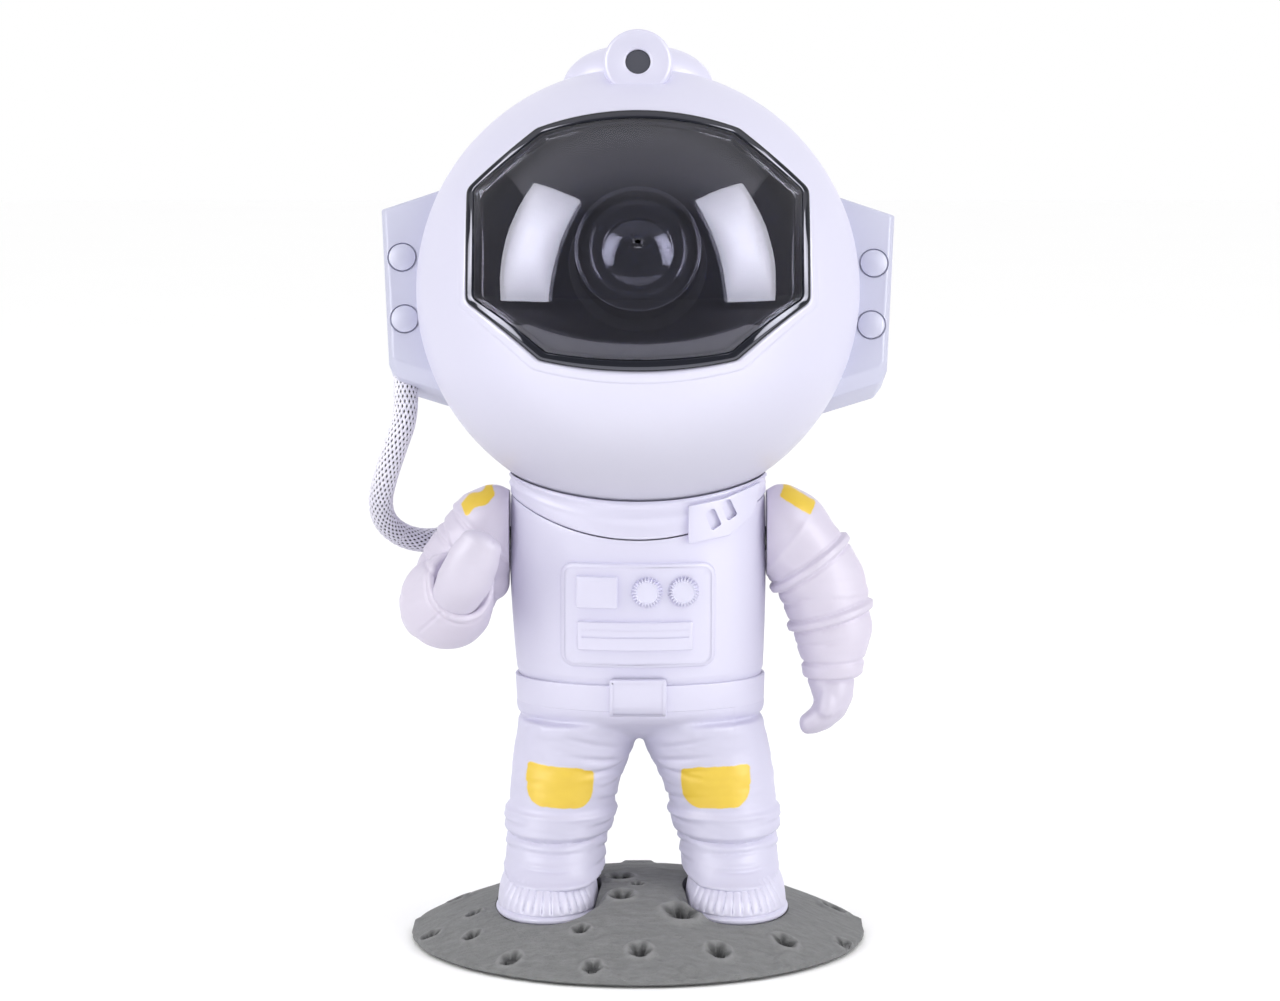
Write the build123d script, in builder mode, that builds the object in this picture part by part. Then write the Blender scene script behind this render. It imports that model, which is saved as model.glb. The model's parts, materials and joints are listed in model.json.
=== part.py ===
from build123d import *
from math import cos, pi, radians, sin, sqrt, tan
import os

os.makedirs("parts", exist_ok=True)

# A table-top planetarium in the shape of an astronaut on a moon base. Millimetres.
# Origin: centre of the base's underside. +Z is up, the figure faces -Y, and +X is its left side.

# Driving dimensions -----------------------------------------------------------------------------
SEAT = 0.05  # gap between flat faces that are seated on each other
RUN = 0.08  # radial clearance of a pin that turns in its hole
SOFT = 0.35  # gap between curved faces of two moving bodies
SCREW_R, SCREW_HEAD_R, SCREW_HEAD_H = 1.3, 2.5, 1.6

BASE_R, BASE_H, BASE_WALL, RIM_H = 57.5, 15.5, 2.6, 1.4
FOOT_R, FOOT_H = 5.0, 1.6
FOOT_PROUD = 0.6  # the rim floats this far over the table
PLATE_R, PLATE_T = BASE_R - 4.5, 2.0
FOOT_RING_R = PLATE_R - 9.0
PEG_R, PEG_H = 3.0, 9.0
SOLE_Z = 8.6  # underside of the boots, in pockets of the base

TORSO_RX, TORSO_RY, TORSO_WALL = 32.0, 24.0, 2.2
WAIST_RX, WAIST_RY = 30.6, 22.4
HIP_RX, HIP_RY = 31.4, 18.0
HIP_Z, WAIST_Z, CHEST_Z, NECK_Z = 51.0, 64.0, 92.0, 120.0
SEAM_SIDE_Z, SEAM_FRONT_Z = 112.5, 103.5  # collar seam at the sides and in front
BELT_H, BELT_T, BELT_Z = 6.4, 0.9, 62.5
BUCKLE_W, BUCKLE_H, BUCKLE_T = 14.5, 9.8, 2.2
PANEL_W, PANEL_H, PANEL_T, PANEL_Z = 38.0, 25.6, 1.6, 84.8
KNOB_R, KNOB_H, KNOB_TEETH = 3.4, 1.6, 28

LEG_RY, SHIN_RY = 16.5, 13.5
THIGH_RX, KNEE_RX, SHIN_RX = 15.0, 13.8, 12.2
KNEE_Z = 36.0
THIGH_X, KNEE_X = 16.2, 19.2
STANCE = {"right": -21.0, "left": 23.2}  # the middle of each ankle; the feet are a little uneven
BOOT_RX, BOOT_RY, BOOT_Y, BOOT_TOP = 12.8, 19.5, -9.0, 20.0

PACK_W, PACK_D, PACK_H, PACK_Z, PACK_R = 46.0, 15.0, 44.0, 88.0, 6.0

SHOULDER_Z, SHOULDER_R, SHOULDER_X = 101.0, 11.6, 32.3
ARM_GAP = 0.3  # between the arm and the torso's shoulder boss
PIN_R, PIN_HEAD_R, PIN_HEAD_T = 3.0, 4.6, 1.6

BALL_LOW, BALL_R, BALL_WALL, TILT = 108.0, 55.0, 2.4, 15.0  # BALL_LOW: height of its lowest point
BALL_Z = BALL_LOW + BALL_R
VISOR_PROUD, VISOR_T = 0.8, 2.4
VISOR_X, VISOR_TOP_X, VISOR_LOW_X = 0.7455 * BALL_R, 0.44 * BALL_R, 0.4255 * BALL_R
VISOR_UP, VISOR_UP_CORNER, VISOR_UP_SIDE = 0.631 * BALL_R, 0.571 * BALL_R, 0.3273 * BALL_R
VISOR_DOWN, VISOR_DOWN_CORNER, VISOR_DOWN_SIDE = 0.531 * BALL_R, 0.469 * BALL_R, 0.1855 * BALL_R
MASK_Y, MASK_T = 30.0, 2.0
BARREL_R, BARREL_WALL, BARREL_FRONT, BARREL_BACK = 14.9, 1.8, BALL_R - 7.5, 21.0
DOME_R, DOME_SKIRT_R = 8.4, 11.4
LAMP_R, LAMP_Z, LAMP_FRONT, LAMP_WINDOW_R = 8.3, BALL_R - 5.5, 0.6 * BALL_R, 3.05
HUMP_X, HUMP_Y, HUMP_Z, HUMP_BACK = 19.0, 18.0, 10.7, 3.0
POD_X, POD_LOW_X, POD_INNER_X = BALL_R + 9.0, BALL_R + 6.4, 0.8 * BALL_R
POD_UP, POD_DOWN, POD_SLOPE = 20.0, 21.5, 4.6
POD_FRONT, POD_D, POD_WALL = 1.0, 24.0, 2.2
STUD_R, STUD_X, STUD_UP, STUD_DOWN = 3.3, BALL_R + 3.6, 7.4, -8.2
BUTTON_R, BUTTON_X, BUTTON_Z, BUTTON_TRAVEL = 4.5, 12.0, 8.0, 0.8
BUTTON_BACK, BUTTON_LIP, BUTTON_FACE = BALL_R - 9.8, 1.2, BALL_R - 0.6

GEAR_MODULE, DISC_TEETH, PINION_TEETH, GEAR_T = 0.6, 60, 12, 4.0
BACKLASH = 0.12  # added to the distance between the two gears' axes
PINION_ANGLE = -45.0

HOSE_R = 3.1

HEAD = Plane(
    origin=(0, 0, BALL_Z),
    x_dir=(1, 0, 0),
    z_dir=(0, sin(radians(TILT)), cos(radians(TILT))),
)  # the head's own frame: it looks along -Y, tilted back


def save(builder, label, frame=Plane.XY):
    """Label a finished piece, set it in its frame and write it."""
    placed = builder.part.moved(frame.location)
    placed.label = label
    export_step(placed, f"parts/{label}.step")
    print(f"{label}: {len(placed.solids())} solids, {placed.volume:.1f} mm3")


def ellipse_loft(sections, inset=0.0):
    """A solid through ellipses given as (z, middle x, middle y, half width, half depth)."""
    with BuildPart() as body:
        for z, x, y, half_width, half_depth in sections:
            with BuildSketch(Plane.XY.offset(z)):
                with Locations((x, y)):
                    Ellipse(half_width - inset, half_depth - inset)
        loft()
    return body.part


def ball(radius, centre=(0, 0, 0)):
    """A solid ball."""
    with BuildPart() as body:
        with Locations(centre):
            Sphere(radius)
    return body.part


def rod(radius, start, end):
    """A solid cylinder from one point to another."""
    run = Vector(*end) - Vector(*start)
    with BuildPart() as body:
        with BuildSketch(Plane(origin=start, z_dir=run)):
            Circle(radius)
        extrude(amount=run.length)
    return body.part


def screw(top, direction, length):
    """A round-head screw whose head's outer face is at top and whose shank runs along direction."""
    along = Vector(*direction).normalized()
    under = Vector(*top) + along * SCREW_HEAD_H
    tip = Vector(*top) + along * length
    return rod(SCREW_HEAD_R, top, tuple(under)) + rod(SCREW_R, tuple(under), tuple(tip))


# Base -------------------------------------------------------------------------------------------
DOME_R_BASE = (BASE_R**2 + (BASE_H - RIM_H) ** 2) / (2 * (BASE_H - RIM_H))
DOME_CZ = BASE_H - DOME_R_BASE


def dome_z(x, y, drop=0.0):
    """Height of the base's domed top over a point, or of a dome inset by drop."""
    return DOME_CZ + sqrt((DOME_R_BASE - drop) ** 2 - x * x - y * y)


CRATERS = [  # x, y, rim radius and depth of each crater
    (10.6, -38.0, 4.2, 1.1),
    (-13.6, -35.0, 1.9, 0.6),
    (-31.0, -41.6, 2.4, 0.7),
    (-40.9, -24.9, 2.0, 0.6),
    (-51.7, -14.1, 2.6, 0.8),
    (0.7, -46.5, 2.8, 0.8),
    (-11.0, -51.3, 2.2, 0.6),
    (18.9, -44.0, 2.9, 0.8),
    (37.5, -31.6, 2.7, 0.8),
    (52.6, -18.2, 2.3, 0.7),
    (0.0, -19.0, 2.2, 0.6),
    (50.0, 6.0, 3.4, 0.9),
    (-46.0, 12.0, 3.0, 0.8),
    (-30.0, 38.0, 4.4, 1.1),
    (3.0, 45.0, 3.6, 0.9),
    (31.0, 36.0, 4.0, 1.0),
    (0.0, 28.0, 3.0, 0.8),
]
SCREW_SPOTS = [(0.0, 34.0), (-36.0, 24.0), (36.0, 24.0), (0.0, -32.0)]


def boot_sections(side, grow=0.0, low=0.0):
    """The boot's ellipses from its sole up."""
    x = STANCE[side]
    toe = (BOOT_RX + grow, BOOT_RY + grow)
    return [
        (SOLE_Z - low, x, BOOT_Y, toe[0] - 0.6, toe[1] - 0.6),
        (SOLE_Z + 3.0, x, BOOT_Y, *toe),
        (SOLE_Z + 7.0, x, BOOT_Y + 1.2, toe[0], toe[1] - 2.0),
        (BOOT_TOP, x, -1.5, SHIN_RX + 0.7 + grow, SHIN_RY + 1.2 + grow),
    ]


def base_parts():
    """The cratered dome, its plate, feet, screws and the pegs for the boots."""
    inner = ball(DOME_R_BASE - BASE_WALL, (0, 0, DOME_CZ))
    outer = ball(DOME_R_BASE, (0, 0, DOME_CZ))
    dents = [
        ball((r * r + d * d) / (2 * d), (x, y, dome_z(x, y) + (r * r + d * d) / (2 * d) - d))
        for x, y, r, d in CRATERS
    ]
    with BuildPart() as moon_base:
        with BuildSketch(Plane.XY.offset(FOOT_PROUD)):
            Circle(BASE_R)
        extrude(amount=BASE_H)
        add(outer, mode=Mode.INTERSECT)
        with BuildSketch(Plane.XY.offset(FOOT_PROUD)):
            Circle(PLATE_R + SEAT)
        hollow = extrude(amount=BASE_H, mode=Mode.PRIVATE)
        add(hollow & inner, mode=Mode.SUBTRACT)
        with Locations((0, 0, FOOT_PROUD + (PLATE_T + SEAT) / 2)):
            Cylinder(PLATE_R + SEAT, PLATE_T + SEAT, mode=Mode.SUBTRACT)
        for x in STANCE.values():  # a solid block under each boot, with the boot's pocket in it
            with BuildSketch(Plane.XY.offset(FOOT_PROUD + PLATE_T + SEAT)):
                with Locations((x, BOOT_Y)):
                    Ellipse(BOOT_RX + BASE_WALL, BOOT_RY + BASE_WALL - 1)
            block = extrude(amount=BASE_H, mode=Mode.PRIVATE)
            add(block & outer)
        for x, y in SCREW_SPOTS:
            with BuildSketch(Plane.XY.offset(FOOT_PROUD + PLATE_T + SEAT)):
                with Locations((x, y)):
                    Circle(SCREW_R + 2)
            boss = extrude(amount=BASE_H, mode=Mode.PRIVATE)
            add(boss & outer)
            add(rod(SCREW_R, (x, y, 0), (x, y, min(dome_z(x, y) - 1.2, 8.5))), mode=Mode.SUBTRACT)
        for side, x in STANCE.items():
            with BuildSketch(Plane.XY.offset(SOLE_Z - SEAT)):
                with Locations((x, BOOT_Y)):
                    Ellipse(BOOT_RX + SOFT, BOOT_RY + SOFT)
            extrude(amount=BASE_H, mode=Mode.SUBTRACT)
            with Locations((x, 0, SOLE_Z - 3)):
                Cylinder(PEG_R, 6.2, mode=Mode.SUBTRACT)
        for dent in dents:
            add(dent, mode=Mode.SUBTRACT)
    save(moon_base, "moon_base")

    spots = [(0.0, 0.0)] + [
        (FOOT_RING_R * cos(radians(a)), FOOT_RING_R * sin(radians(a))) for a in (45, 135, 225, 315)
    ]
    with BuildPart() as base_plate:
        with Locations((0, 0, FOOT_PROUD + PLATE_T / 2)):
            Cylinder(PLATE_R, PLATE_T)
        with Locations(*[(x, y, FOOT_PROUD) for x, y in spots]):
            Cylinder(FOOT_R + SEAT, 2 * (FOOT_H - FOOT_PROUD), mode=Mode.SUBTRACT)
        with Locations(*[(x, y, FOOT_PROUD) for x, y in SCREW_SPOTS]):
            Cylinder(SCREW_HEAD_R + SEAT, 2 * SCREW_HEAD_H - 1.2, mode=Mode.SUBTRACT)
            Cylinder(SCREW_R + SEAT, 4 * PLATE_T, mode=Mode.SUBTRACT)
    save(base_plate, "base_plate")

    with BuildPart() as base_feet:
        with Locations(*[(x, y, FOOT_H / 2) for x, y in spots]):
            Cylinder(FOOT_R, FOOT_H)
    save(base_feet, "base_feet")

    with BuildPart() as base_screws:
        for x, y in SCREW_SPOTS:
            with Locations((x, y, FOOT_PROUD + (SCREW_HEAD_H - 0.6) / 2)):
                Cylinder(SCREW_HEAD_R, SCREW_HEAD_H - 0.6)
            add(rod(SCREW_R, (x, y, FOOT_PROUD + 0.5), (x, y, min(dome_z(x, y) - 1.4, 7.0))))
    save(base_screws, "base_screws")

    with BuildPart() as boot_pegs:
        for x in STANCE.values():
            with Locations((x, 0, SOLE_Z - 3 + (PEG_H + 3) / 2)):
                Cylinder(PEG_R, PEG_H + 3)
    save(boot_pegs, "boot_pegs")



# Figure: torso, belt, panel and backpack --------------------------------------------------------
SEAM_R = (TORSO_RX**2 + (SEAM_SIDE_Z - SEAM_FRONT_Z) ** 2) / (2 * (SEAM_SIDE_Z - SEAM_FRONT_Z))
TORSO = [
    (HIP_Z, 0, 0, HIP_RX, HIP_RY),
    (WAIST_Z, 0, 0, WAIST_RX, WAIST_RY),
    (CHEST_Z, 0, 0, TORSO_RX, TORSO_RY),
    (NECK_Z, 0, 0, TORSO_RX - 0.4, TORSO_RY),
]
RING_OUT, RING_IN, MAGNET_R, SEAT_T = 18.0, 11.0, 8.0, 3.0
SEAT_TOP = SEAM_FRONT_Z - 1.5
MAGNET_TOP = BALL_Z - BALL_R - SOFT
BODY_SCREWS = [(-18.0, 74.0), (18.0, 74.0), (-14.0, 93.0), (14.0, 93.0)]
BOSS_X = 24.0  # inner end of the bosses that carry the arms' pins
LEG_SCREW_Y = 5.0
PORT_Y, PORT_Z, FERRULE_R, FERRULE_L = 27.0, 104.0, 4.2, 4.0


def seam_cutter(gap=0.0):
    """The round-bottomed space above the torso that the collar's lower edge follows."""
    top = SEAM_FRONT_Z + SEAM_R
    return rod(SEAM_R - gap, (0, -80, top), (0, 80, top))


def wrapped(outline, out, under=0.0):
    """A piece of even thickness laid on the torso inside an XZ outline seen from the front."""
    shell = ellipse_loft(TORSO, -out) - ellipse_loft(TORSO, -under)
    return shell & outline


def front_prism(points, radius=0.0):
    """A prism along Y in front of the torso, from (x, z) corners."""
    with BuildPart() as body:
        with BuildSketch(Plane.XZ):
            with BuildLine():
                Polyline(*points, close=True)
            make_face()
        extrude(amount=80)
        if radius:
            fillet(body.edges().filter_by(Axis.Y), radius)
    return body.part


def front_box(x, z, width, height, radius):
    """A rounded rectangle's prism along Y in front of the torso."""
    w, h = width / 2, height / 2
    corners = [(x - w, z - h), (x + w, z - h), (x + w, z + h), (x - w, z + h)]
    return front_prism(corners, radius)


def torso_parts():
    """The two halves of the torso, with bosses for the arms' pins."""
    outer = ellipse_loft(TORSO)
    inner = ellipse_loft([(HIP_Z + TORSO_WALL, *TORSO[0][1:])] + TORSO[1:], TORSO_WALL)
    bosses = [
        rod(SHOULDER_R, (s * BOSS_X, 0, SHOULDER_Z), (s * SHOULDER_X, 0, SHOULDER_Z)) for s in (-1, 1)
    ]
    with BuildPart() as torso:
        add(outer)
        add(inner, mode=Mode.SUBTRACT)
        for boss in bosses:
            add(boss)
        for x, z in BODY_SCREWS:
            post = rod(SCREW_HEAD_R + 1.2, (x, -TORSO_RY, z), (x, TORSO_RY, z)) & outer
            add(post)
        add(seam_cutter(), mode=Mode.SUBTRACT)
        for s in (-1, 1):
            add(
                rod(PIN_R + RUN, (s * 20, 0, SHOULDER_Z), (s * 40, 0, SHOULDER_Z)),
                mode=Mode.SUBTRACT,
            )
            with Locations((s * THIGH_X, LEG_SCREW_Y, HIP_Z)):
                Cylinder(SCREW_R + SEAT, 8, mode=Mode.SUBTRACT)
        for x, z in BODY_SCREWS:
            add(rod(SCREW_R + SEAT, (x, -4, z), (x, 9, z)), mode=Mode.SUBTRACT)
            add(rod(SCREW_HEAD_R + SEAT, (x, 8, z), (x, 40, z)), mode=Mode.SUBTRACT)
    for label, keep, shift in (("torso_front", Keep.BOTTOM, -1), ("torso_rear", Keep.TOP, 1)):
        with BuildPart() as half:
            add(torso.part)
            split(bisect_by=Plane(origin=(0, shift * SEAT / 2, 0), z_dir=(0, 1, 0)), keep=keep)
        save(half, label)

    with BuildPart() as body_screws:
        for x, z in BODY_SCREWS:
            add(screw((x, 8.05 + SCREW_HEAD_H, z), (0, -1, 0), 12))
        for s in (-1, 1):
            add(screw((s * THIGH_X, LEG_SCREW_Y, HIP_Z + TORSO_WALL + SEAT + SCREW_HEAD_H), (0, 0, -1), 10))
    save(body_screws, "body_screws")


def neck_parts():
    """The collar, its clasp, the seat of the head's ball and the magnet that holds the head."""
    ball_space = ball(BALL_R + SOFT, (0, 0, BALL_Z))
    with BuildPart() as collar_ring:
        add(ellipse_loft(TORSO))
        add(seam_cutter(SEAT), mode=Mode.INTERSECT)
        add(ball_space, mode=Mode.SUBTRACT)
        with Locations((0, 0, NECK_Z)):
            Cylinder(RING_OUT + SOFT, 60, mode=Mode.SUBTRACT)
    save(collar_ring, "collar_ring")

    clasp = front_prism([(12.5, 102.4), (12.7, 111.0), (29.0, 114.2), (31.0, 110.0), (24.0, 104.6)])
    slots = [front_prism([(x, z), (x + 1.6, z - 1.0), (x + 1.6, z + 3.0), (x, z + 4.0)]) for x, z in
             ((17.4, 105.4), (21.4, 106.8))]
    with BuildPart() as collar_clasp:
        add(wrapped(clasp, 1.1, SEAT))
        for slot in slots:
            add(slot, mode=Mode.SUBTRACT)
        add(ball_space, mode=Mode.SUBTRACT)
    save(collar_clasp, "collar_clasp")

    with BuildPart() as neck_seat:
        with BuildSketch(Plane.XY.offset(SEAT_TOP - SEAT_T)):
            Circle(TORSO_RY - TORSO_WALL - 0.6)
        extrude(amount=SEAT_T)
    save(neck_seat, "neck_seat")

    with BuildPart() as neck_magnet:
        with BuildSketch(Plane.XY.offset(SEAT_TOP + SEAT)):
            Circle(MAGNET_R)
        extrude(amount=MAGNET_TOP - SEAT_TOP - SEAT)
    save(neck_magnet, "neck_magnet")

    with BuildPart() as swivel_ring:
        with BuildSketch(Plane.XY.offset(SEAT_TOP + SEAT)):
            Circle(RING_OUT)
            Circle(RING_IN, mode=Mode.SUBTRACT)
        extrude(amount=BALL_Z - SEAT_TOP)
        add(ball_space, mode=Mode.SUBTRACT)
        split(bisect_by=Plane.XY.offset(BALL_Z - BALL_R / 2), keep=Keep.BOTTOM)
    save(swivel_ring, "swivel_ring")


def trim_parts():
    """The belt, buckle, chest panel, knobs and backpack."""
    low, high = BELT_Z - BELT_H / 2, BELT_Z + BELT_H / 2
    with BuildPart() as slab:
        with BuildSketch(Plane.XY.offset(low)):
            Rectangle(100, 100)
        extrude(amount=high - low)
    with BuildPart() as belt:
        add(wrapped(slab.part, BELT_T, SEAT))
    save(belt, "belt")

    with BuildPart() as belt_buckle:
        add(wrapped(front_box(0, BELT_Z + 0.9, BUCKLE_W, BUCKLE_H, 0.8), BUCKLE_T, BELT_T + SEAT))
    save(belt_buckle, "belt_buckle")

    knob_x, knob_z = (3.0, 11.9), PANEL_Z + 4.6
    with BuildPart() as chest_panel:
        add(wrapped(front_box(0, PANEL_Z, PANEL_W, PANEL_H, 3.0), PANEL_T, SEAT))
        add(wrapped(front_box(-10.6, PANEL_Z + 4.8, 9.8, 7.6, 0.4), PANEL_T + 1.4, SEAT))
        add(wrapped(front_box(0, PANEL_Z - 6.0, 28.6, 6.9, 0.4), PANEL_T + 1.4, SEAT))
        add(
            wrapped(front_box(0, PANEL_Z - 6.0, 26.0, 0.7, 0.1), PANEL_T + 2.0, PANEL_T + 0.9),
            mode=Mode.SUBTRACT,
        )
    save(chest_panel, "chest_panel")

    with BuildPart() as panel_knobs:
        for x in knob_x:
            reach = TORSO_RY * sqrt(1 - (x / TORSO_RX) ** 2) + PANEL_T + 0.6
            with BuildSketch(Plane(origin=(x, -reach, knob_z), z_dir=(0, -1, 0))):
                Circle(KNOB_R - 0.25)
                with PolarLocations(KNOB_R - 0.3, KNOB_TEETH):
                    Circle(0.26)
            extrude(amount=KNOB_H)
            with BuildSketch(Plane(origin=(x, -reach, knob_z), z_dir=(0, -1, 0))):
                Circle(KNOB_R - 1.2)
            extrude(amount=-4)
        add(wrapped(front_box(0, PANEL_Z, 99, 99, 0), PANEL_T + SEAT, -4), mode=Mode.SUBTRACT)
    save(panel_knobs, "panel_knobs")

    with BuildPart() as backpack:
        back = TORSO_RY + PACK_D - 3
        with Locations((0, back / 2 + 6, PACK_Z)):
            Box(PACK_W, back - 12, PACK_H)
        fillet(backpack.faces().sort_by(Axis.Y)[-1].edges(), PACK_R)
        add(ellipse_loft(TORSO, -SEAT - BELT_T - 0.1), mode=Mode.SUBTRACT)
        with Locations((0, back / 2 + 2, PACK_Z)):
            Box(PACK_W - 2 * POD_WALL - 4, back - 8, PACK_H - 10, mode=Mode.SUBTRACT)
        with Locations((0, back, PACK_Z + 6)):
            Box(PACK_W - 18, 1.6, PACK_H - 26, mode=Mode.SUBTRACT)
    save(backpack, "backpack")

    side = -PACK_W / 2 - SEAT
    with BuildPart() as pack_ferrule:
        add(rod(FERRULE_R, (side, PORT_Y, PORT_Z), (side - FERRULE_L, PORT_Y, PORT_Z)))
    save(pack_ferrule, "pack_ferrule")


# Legs and arms ----------------------------------------------------------------------------------
LEG_BOSS = 9.0  # solid top of each leg that its screw goes into
ARM_X = SHOULDER_X + ARM_GAP
UPPER_ARM = [  # z, middle x, middle y, half width, half depth
    (113.4, 36.0, 0.0, 5.0, 6.0),
    (107.0, 38.4, 0.0, 10.0, 11.4),
    (97.0, 42.0, 0.0, 12.3, 12.4),
    (87.0, 46.6, -0.6, 12.1, 12.2),
]
LEFT_FOREARM = [(78.5, 48.2, -1.2, 10.7, 11.0), (70.0, 49.0, -2.2, 8.3, 9.4), (63.6, 48.4, -3.0, 6.4, 7.8)]
LEFT_HAND = [(63.5, 48.2, -3.0, 5.4, 6.6), (57.0, 46.4, -4.2, 5.6, 7.4), (52.6, 43.6, -5.2, 4.4, 6.0),
             (50.2, 42.2, -5.6, 2.0, 3.2)]
LEFT_CUFF = (65.4, 48.8, -2.6, 8.4, 9.6)
RIGHT_ELBOW = [(80.0, 48.6, -2.0, 11.4, 11.8), (74.4, 48.8, -3.4, 7.6, 8.4), (71.9, 48.9, -4.0, 3.4, 4.0)]
ELBOW, CUFF_END, CUFF_R, CUFF_T = (-48.4, -2.0, 83.0), (-46.0, -24.0, 88.4), 11.2, 2.6
WRIST, FINGERS = (-44.6, -26.4, 90.4), (-36.6, -33.6, 107.0)


def leg_and_boot(side):
    """One hollow leg and the solid boot that it stands in."""
    s = 1 if side == "left" else -1
    sections = [
        (HIP_Z - SEAT, s * THIGH_X, 0, THIGH_RX, LEG_RY),
        (KNEE_Z, s * KNEE_X, -1.0, KNEE_RX, LEG_RY - 1.2),
        (BOOT_TOP + SEAT, STANCE[side], -1.5, SHIN_RX, SHIN_RY),
    ]
    hollow = [(HIP_Z - LEG_BOSS, *sections[0][1:]), sections[1]]
    hollow.append((BOOT_TOP + TORSO_WALL, *sections[2][1:]))
    with BuildPart() as leg:
        add(ellipse_loft(sections))
        add(ellipse_loft(hollow, TORSO_WALL), mode=Mode.SUBTRACT)
        with Locations((s * THIGH_X, LEG_SCREW_Y, HIP_Z)):
            Cylinder(SCREW_R, 2 * LEG_BOSS, mode=Mode.SUBTRACT)
    save(leg, f"{side}_leg")

    with BuildPart() as boot:
        add(ellipse_loft(boot_sections(side)))
        with Locations((STANCE[side], 0, SOLE_Z)):
            Cylinder(PEG_R + RUN, 2 * PEG_H + 1, mode=Mode.SUBTRACT)
    save(boot, f"{side}_boot")


def mirrored(sections):
    return [(z, -x, y, rx, ry) for z, x, y, rx, ry in sections]


def shoulder_cut(s):
    """Everything on the torso's side of an arm's flat inner face."""
    with BuildPart() as block:
        with Locations((s * (ARM_X - 50), 0, SHOULDER_Z)):
            Box(100, 60, 60)
    return block.part


def arm_parts():
    """The hanging left arm and the raised right arm, with their hands and shoulder pins."""
    socket = {s: rod(PIN_R, (s * ARM_X, 0, SHOULDER_Z), (s * (ARM_X + 8), 0, SHOULDER_Z)) for s in (-1, 1)}
    with BuildPart() as left_arm:
        add(ellipse_loft(UPPER_ARM + LEFT_FOREARM))
        add(shoulder_cut(1), mode=Mode.SUBTRACT)
        with BuildSketch(Plane.XY.offset(LEFT_CUFF[0])):
            with Locations(LEFT_CUFF[1:3]):
                Ellipse(*LEFT_CUFF[3:])
        extrude(amount=CUFF_T)
        add(socket[1], mode=Mode.SUBTRACT)
    save(left_arm, "left_arm")

    thumb = rod(2.3, (47.4, -8.4, 60.0), (45.6, -11.4, 54.6)) + ball(2.3, (45.6, -11.4, 54.6))
    with BuildPart() as left_hand:
        add(ellipse_loft(LEFT_HAND))
        add(thumb)
        add(ellipse_loft(UPPER_ARM + LEFT_FOREARM), mode=Mode.SUBTRACT)
    save(left_hand, "left_hand")

    aim = Vector(*CUFF_END) - Vector(*ELBOW)
    with BuildPart() as right_arm:
        add(ellipse_loft(mirrored(UPPER_ARM + RIGHT_ELBOW)))
        add(shoulder_cut(-1), mode=Mode.SUBTRACT)
        add(ball(CUFF_R, ELBOW))
        add(rod(CUFF_R, ELBOW, CUFF_END))
        with BuildSketch(Plane(origin=CUFF_END, z_dir=-aim)):
            Circle(CUFF_R + 0.7)
        extrude(amount=CUFF_T)
        add(socket[-1], mode=Mode.SUBTRACT)
    save(right_arm, "right_arm")

    reach = Vector(*FINGERS) - Vector(*WRIST)
    with BuildPart() as palm:
        for share, wide, thick in ((0.0, 5.2, 4.8), (0.35, 6.4, 5.6), (0.75, 6.0, 5.2), (1.0, 2.6, 2.4)):
            spot = Vector(*WRIST) + reach * share
            with BuildSketch(Plane(origin=spot, x_dir=(1, 0, -reach.X / reach.Z), z_dir=reach)):
                Ellipse(wide, thick)
        loft()
    with BuildPart() as right_hand:
        add(palm.part)
        add(rod(6.4, CUFF_END, WRIST))
        add(ball(6.4, WRIST))
        with BuildSketch(Plane(origin=Vector(*CUFF_END) + aim.normalized() * SEAT, z_dir=-aim)):
            Circle(30)
        extrude(amount=40, mode=Mode.SUBTRACT)
    save(right_hand, "right_hand")

    for s, side in ((1, "left"), (-1, "right")):
        head = s * (BOSS_X - SEAT)
        with BuildPart() as pin:
            add(rod(PIN_R, (head, 0, SHOULDER_Z), (s * (ARM_X + 8), 0, SHOULDER_Z)))
            add(rod(PIN_HEAD_R, (head, 0, SHOULDER_Z), (head - s * PIN_HEAD_T, 0, SHOULDER_Z)))
        save(pin, f"{side}_pin")


# Head, in its own frame: the optical axis is -Y and the ball's centre is the origin ---------------
INNER_R = BALL_R - BALL_WALL
BEZEL_OUT, BEZEL_LAP, BEZEL_T = INNER_R - SEAT, 3.0, 2.0
VISOR_OUT = BALL_R + VISOR_PROUD
MASK_R = sqrt((BEZEL_OUT - BEZEL_T) ** 2 - MASK_Y**2) - 0.2
GLASS_FRONT, GLASS_BACK = BARREL_FRONT - 1.5, BARREL_FRONT - 4.5
BOSS_AT_X, BOSS_AT_Z = 0.751 * INNER_R, 0.4373 * INNER_R
HELMET_BOSSES = [(x, z) for z in (BOSS_AT_Z, -BOSS_AT_Z) for x in (-BOSS_AT_X, BOSS_AT_X)]
BOSS_R, BOSS_FRONT, BOSS_REAR, BOSS_SEAT = 3.9, 0.4 * INNER_R, 0.5133 * INNER_R, 8.0
POST_R, POST_RING_R, POST_ANGLES = 2.5, 27.0, (0, 90, 180, 250)
SINK_Y, SINK_R, SINK_T = 7.0, 31.0, 2.0
LED_R, LED_T = 9.5, 1.6
BOARD_Y, BOARD_T = INNER_R - 16.6, 1.6
USB_W, USB_H, USB_Z, USB_FACE = 9.0, 3.3, -13.0, BALL_R - 3.5
SWITCH_TOP = BUTTON_BACK - BUTTON_TRAVEL - SEAT
MODULE_R, MODULE_L = 5.5, 24.0
KEEPER_R, KEEPER_T = 12.5, 2.0


def along_y(radius, x, z, front, back):
    """A cylinder parallel to the optical axis, between two distances along Y."""
    return rod(radius, (x, front, z), (x, back, z))


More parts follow.
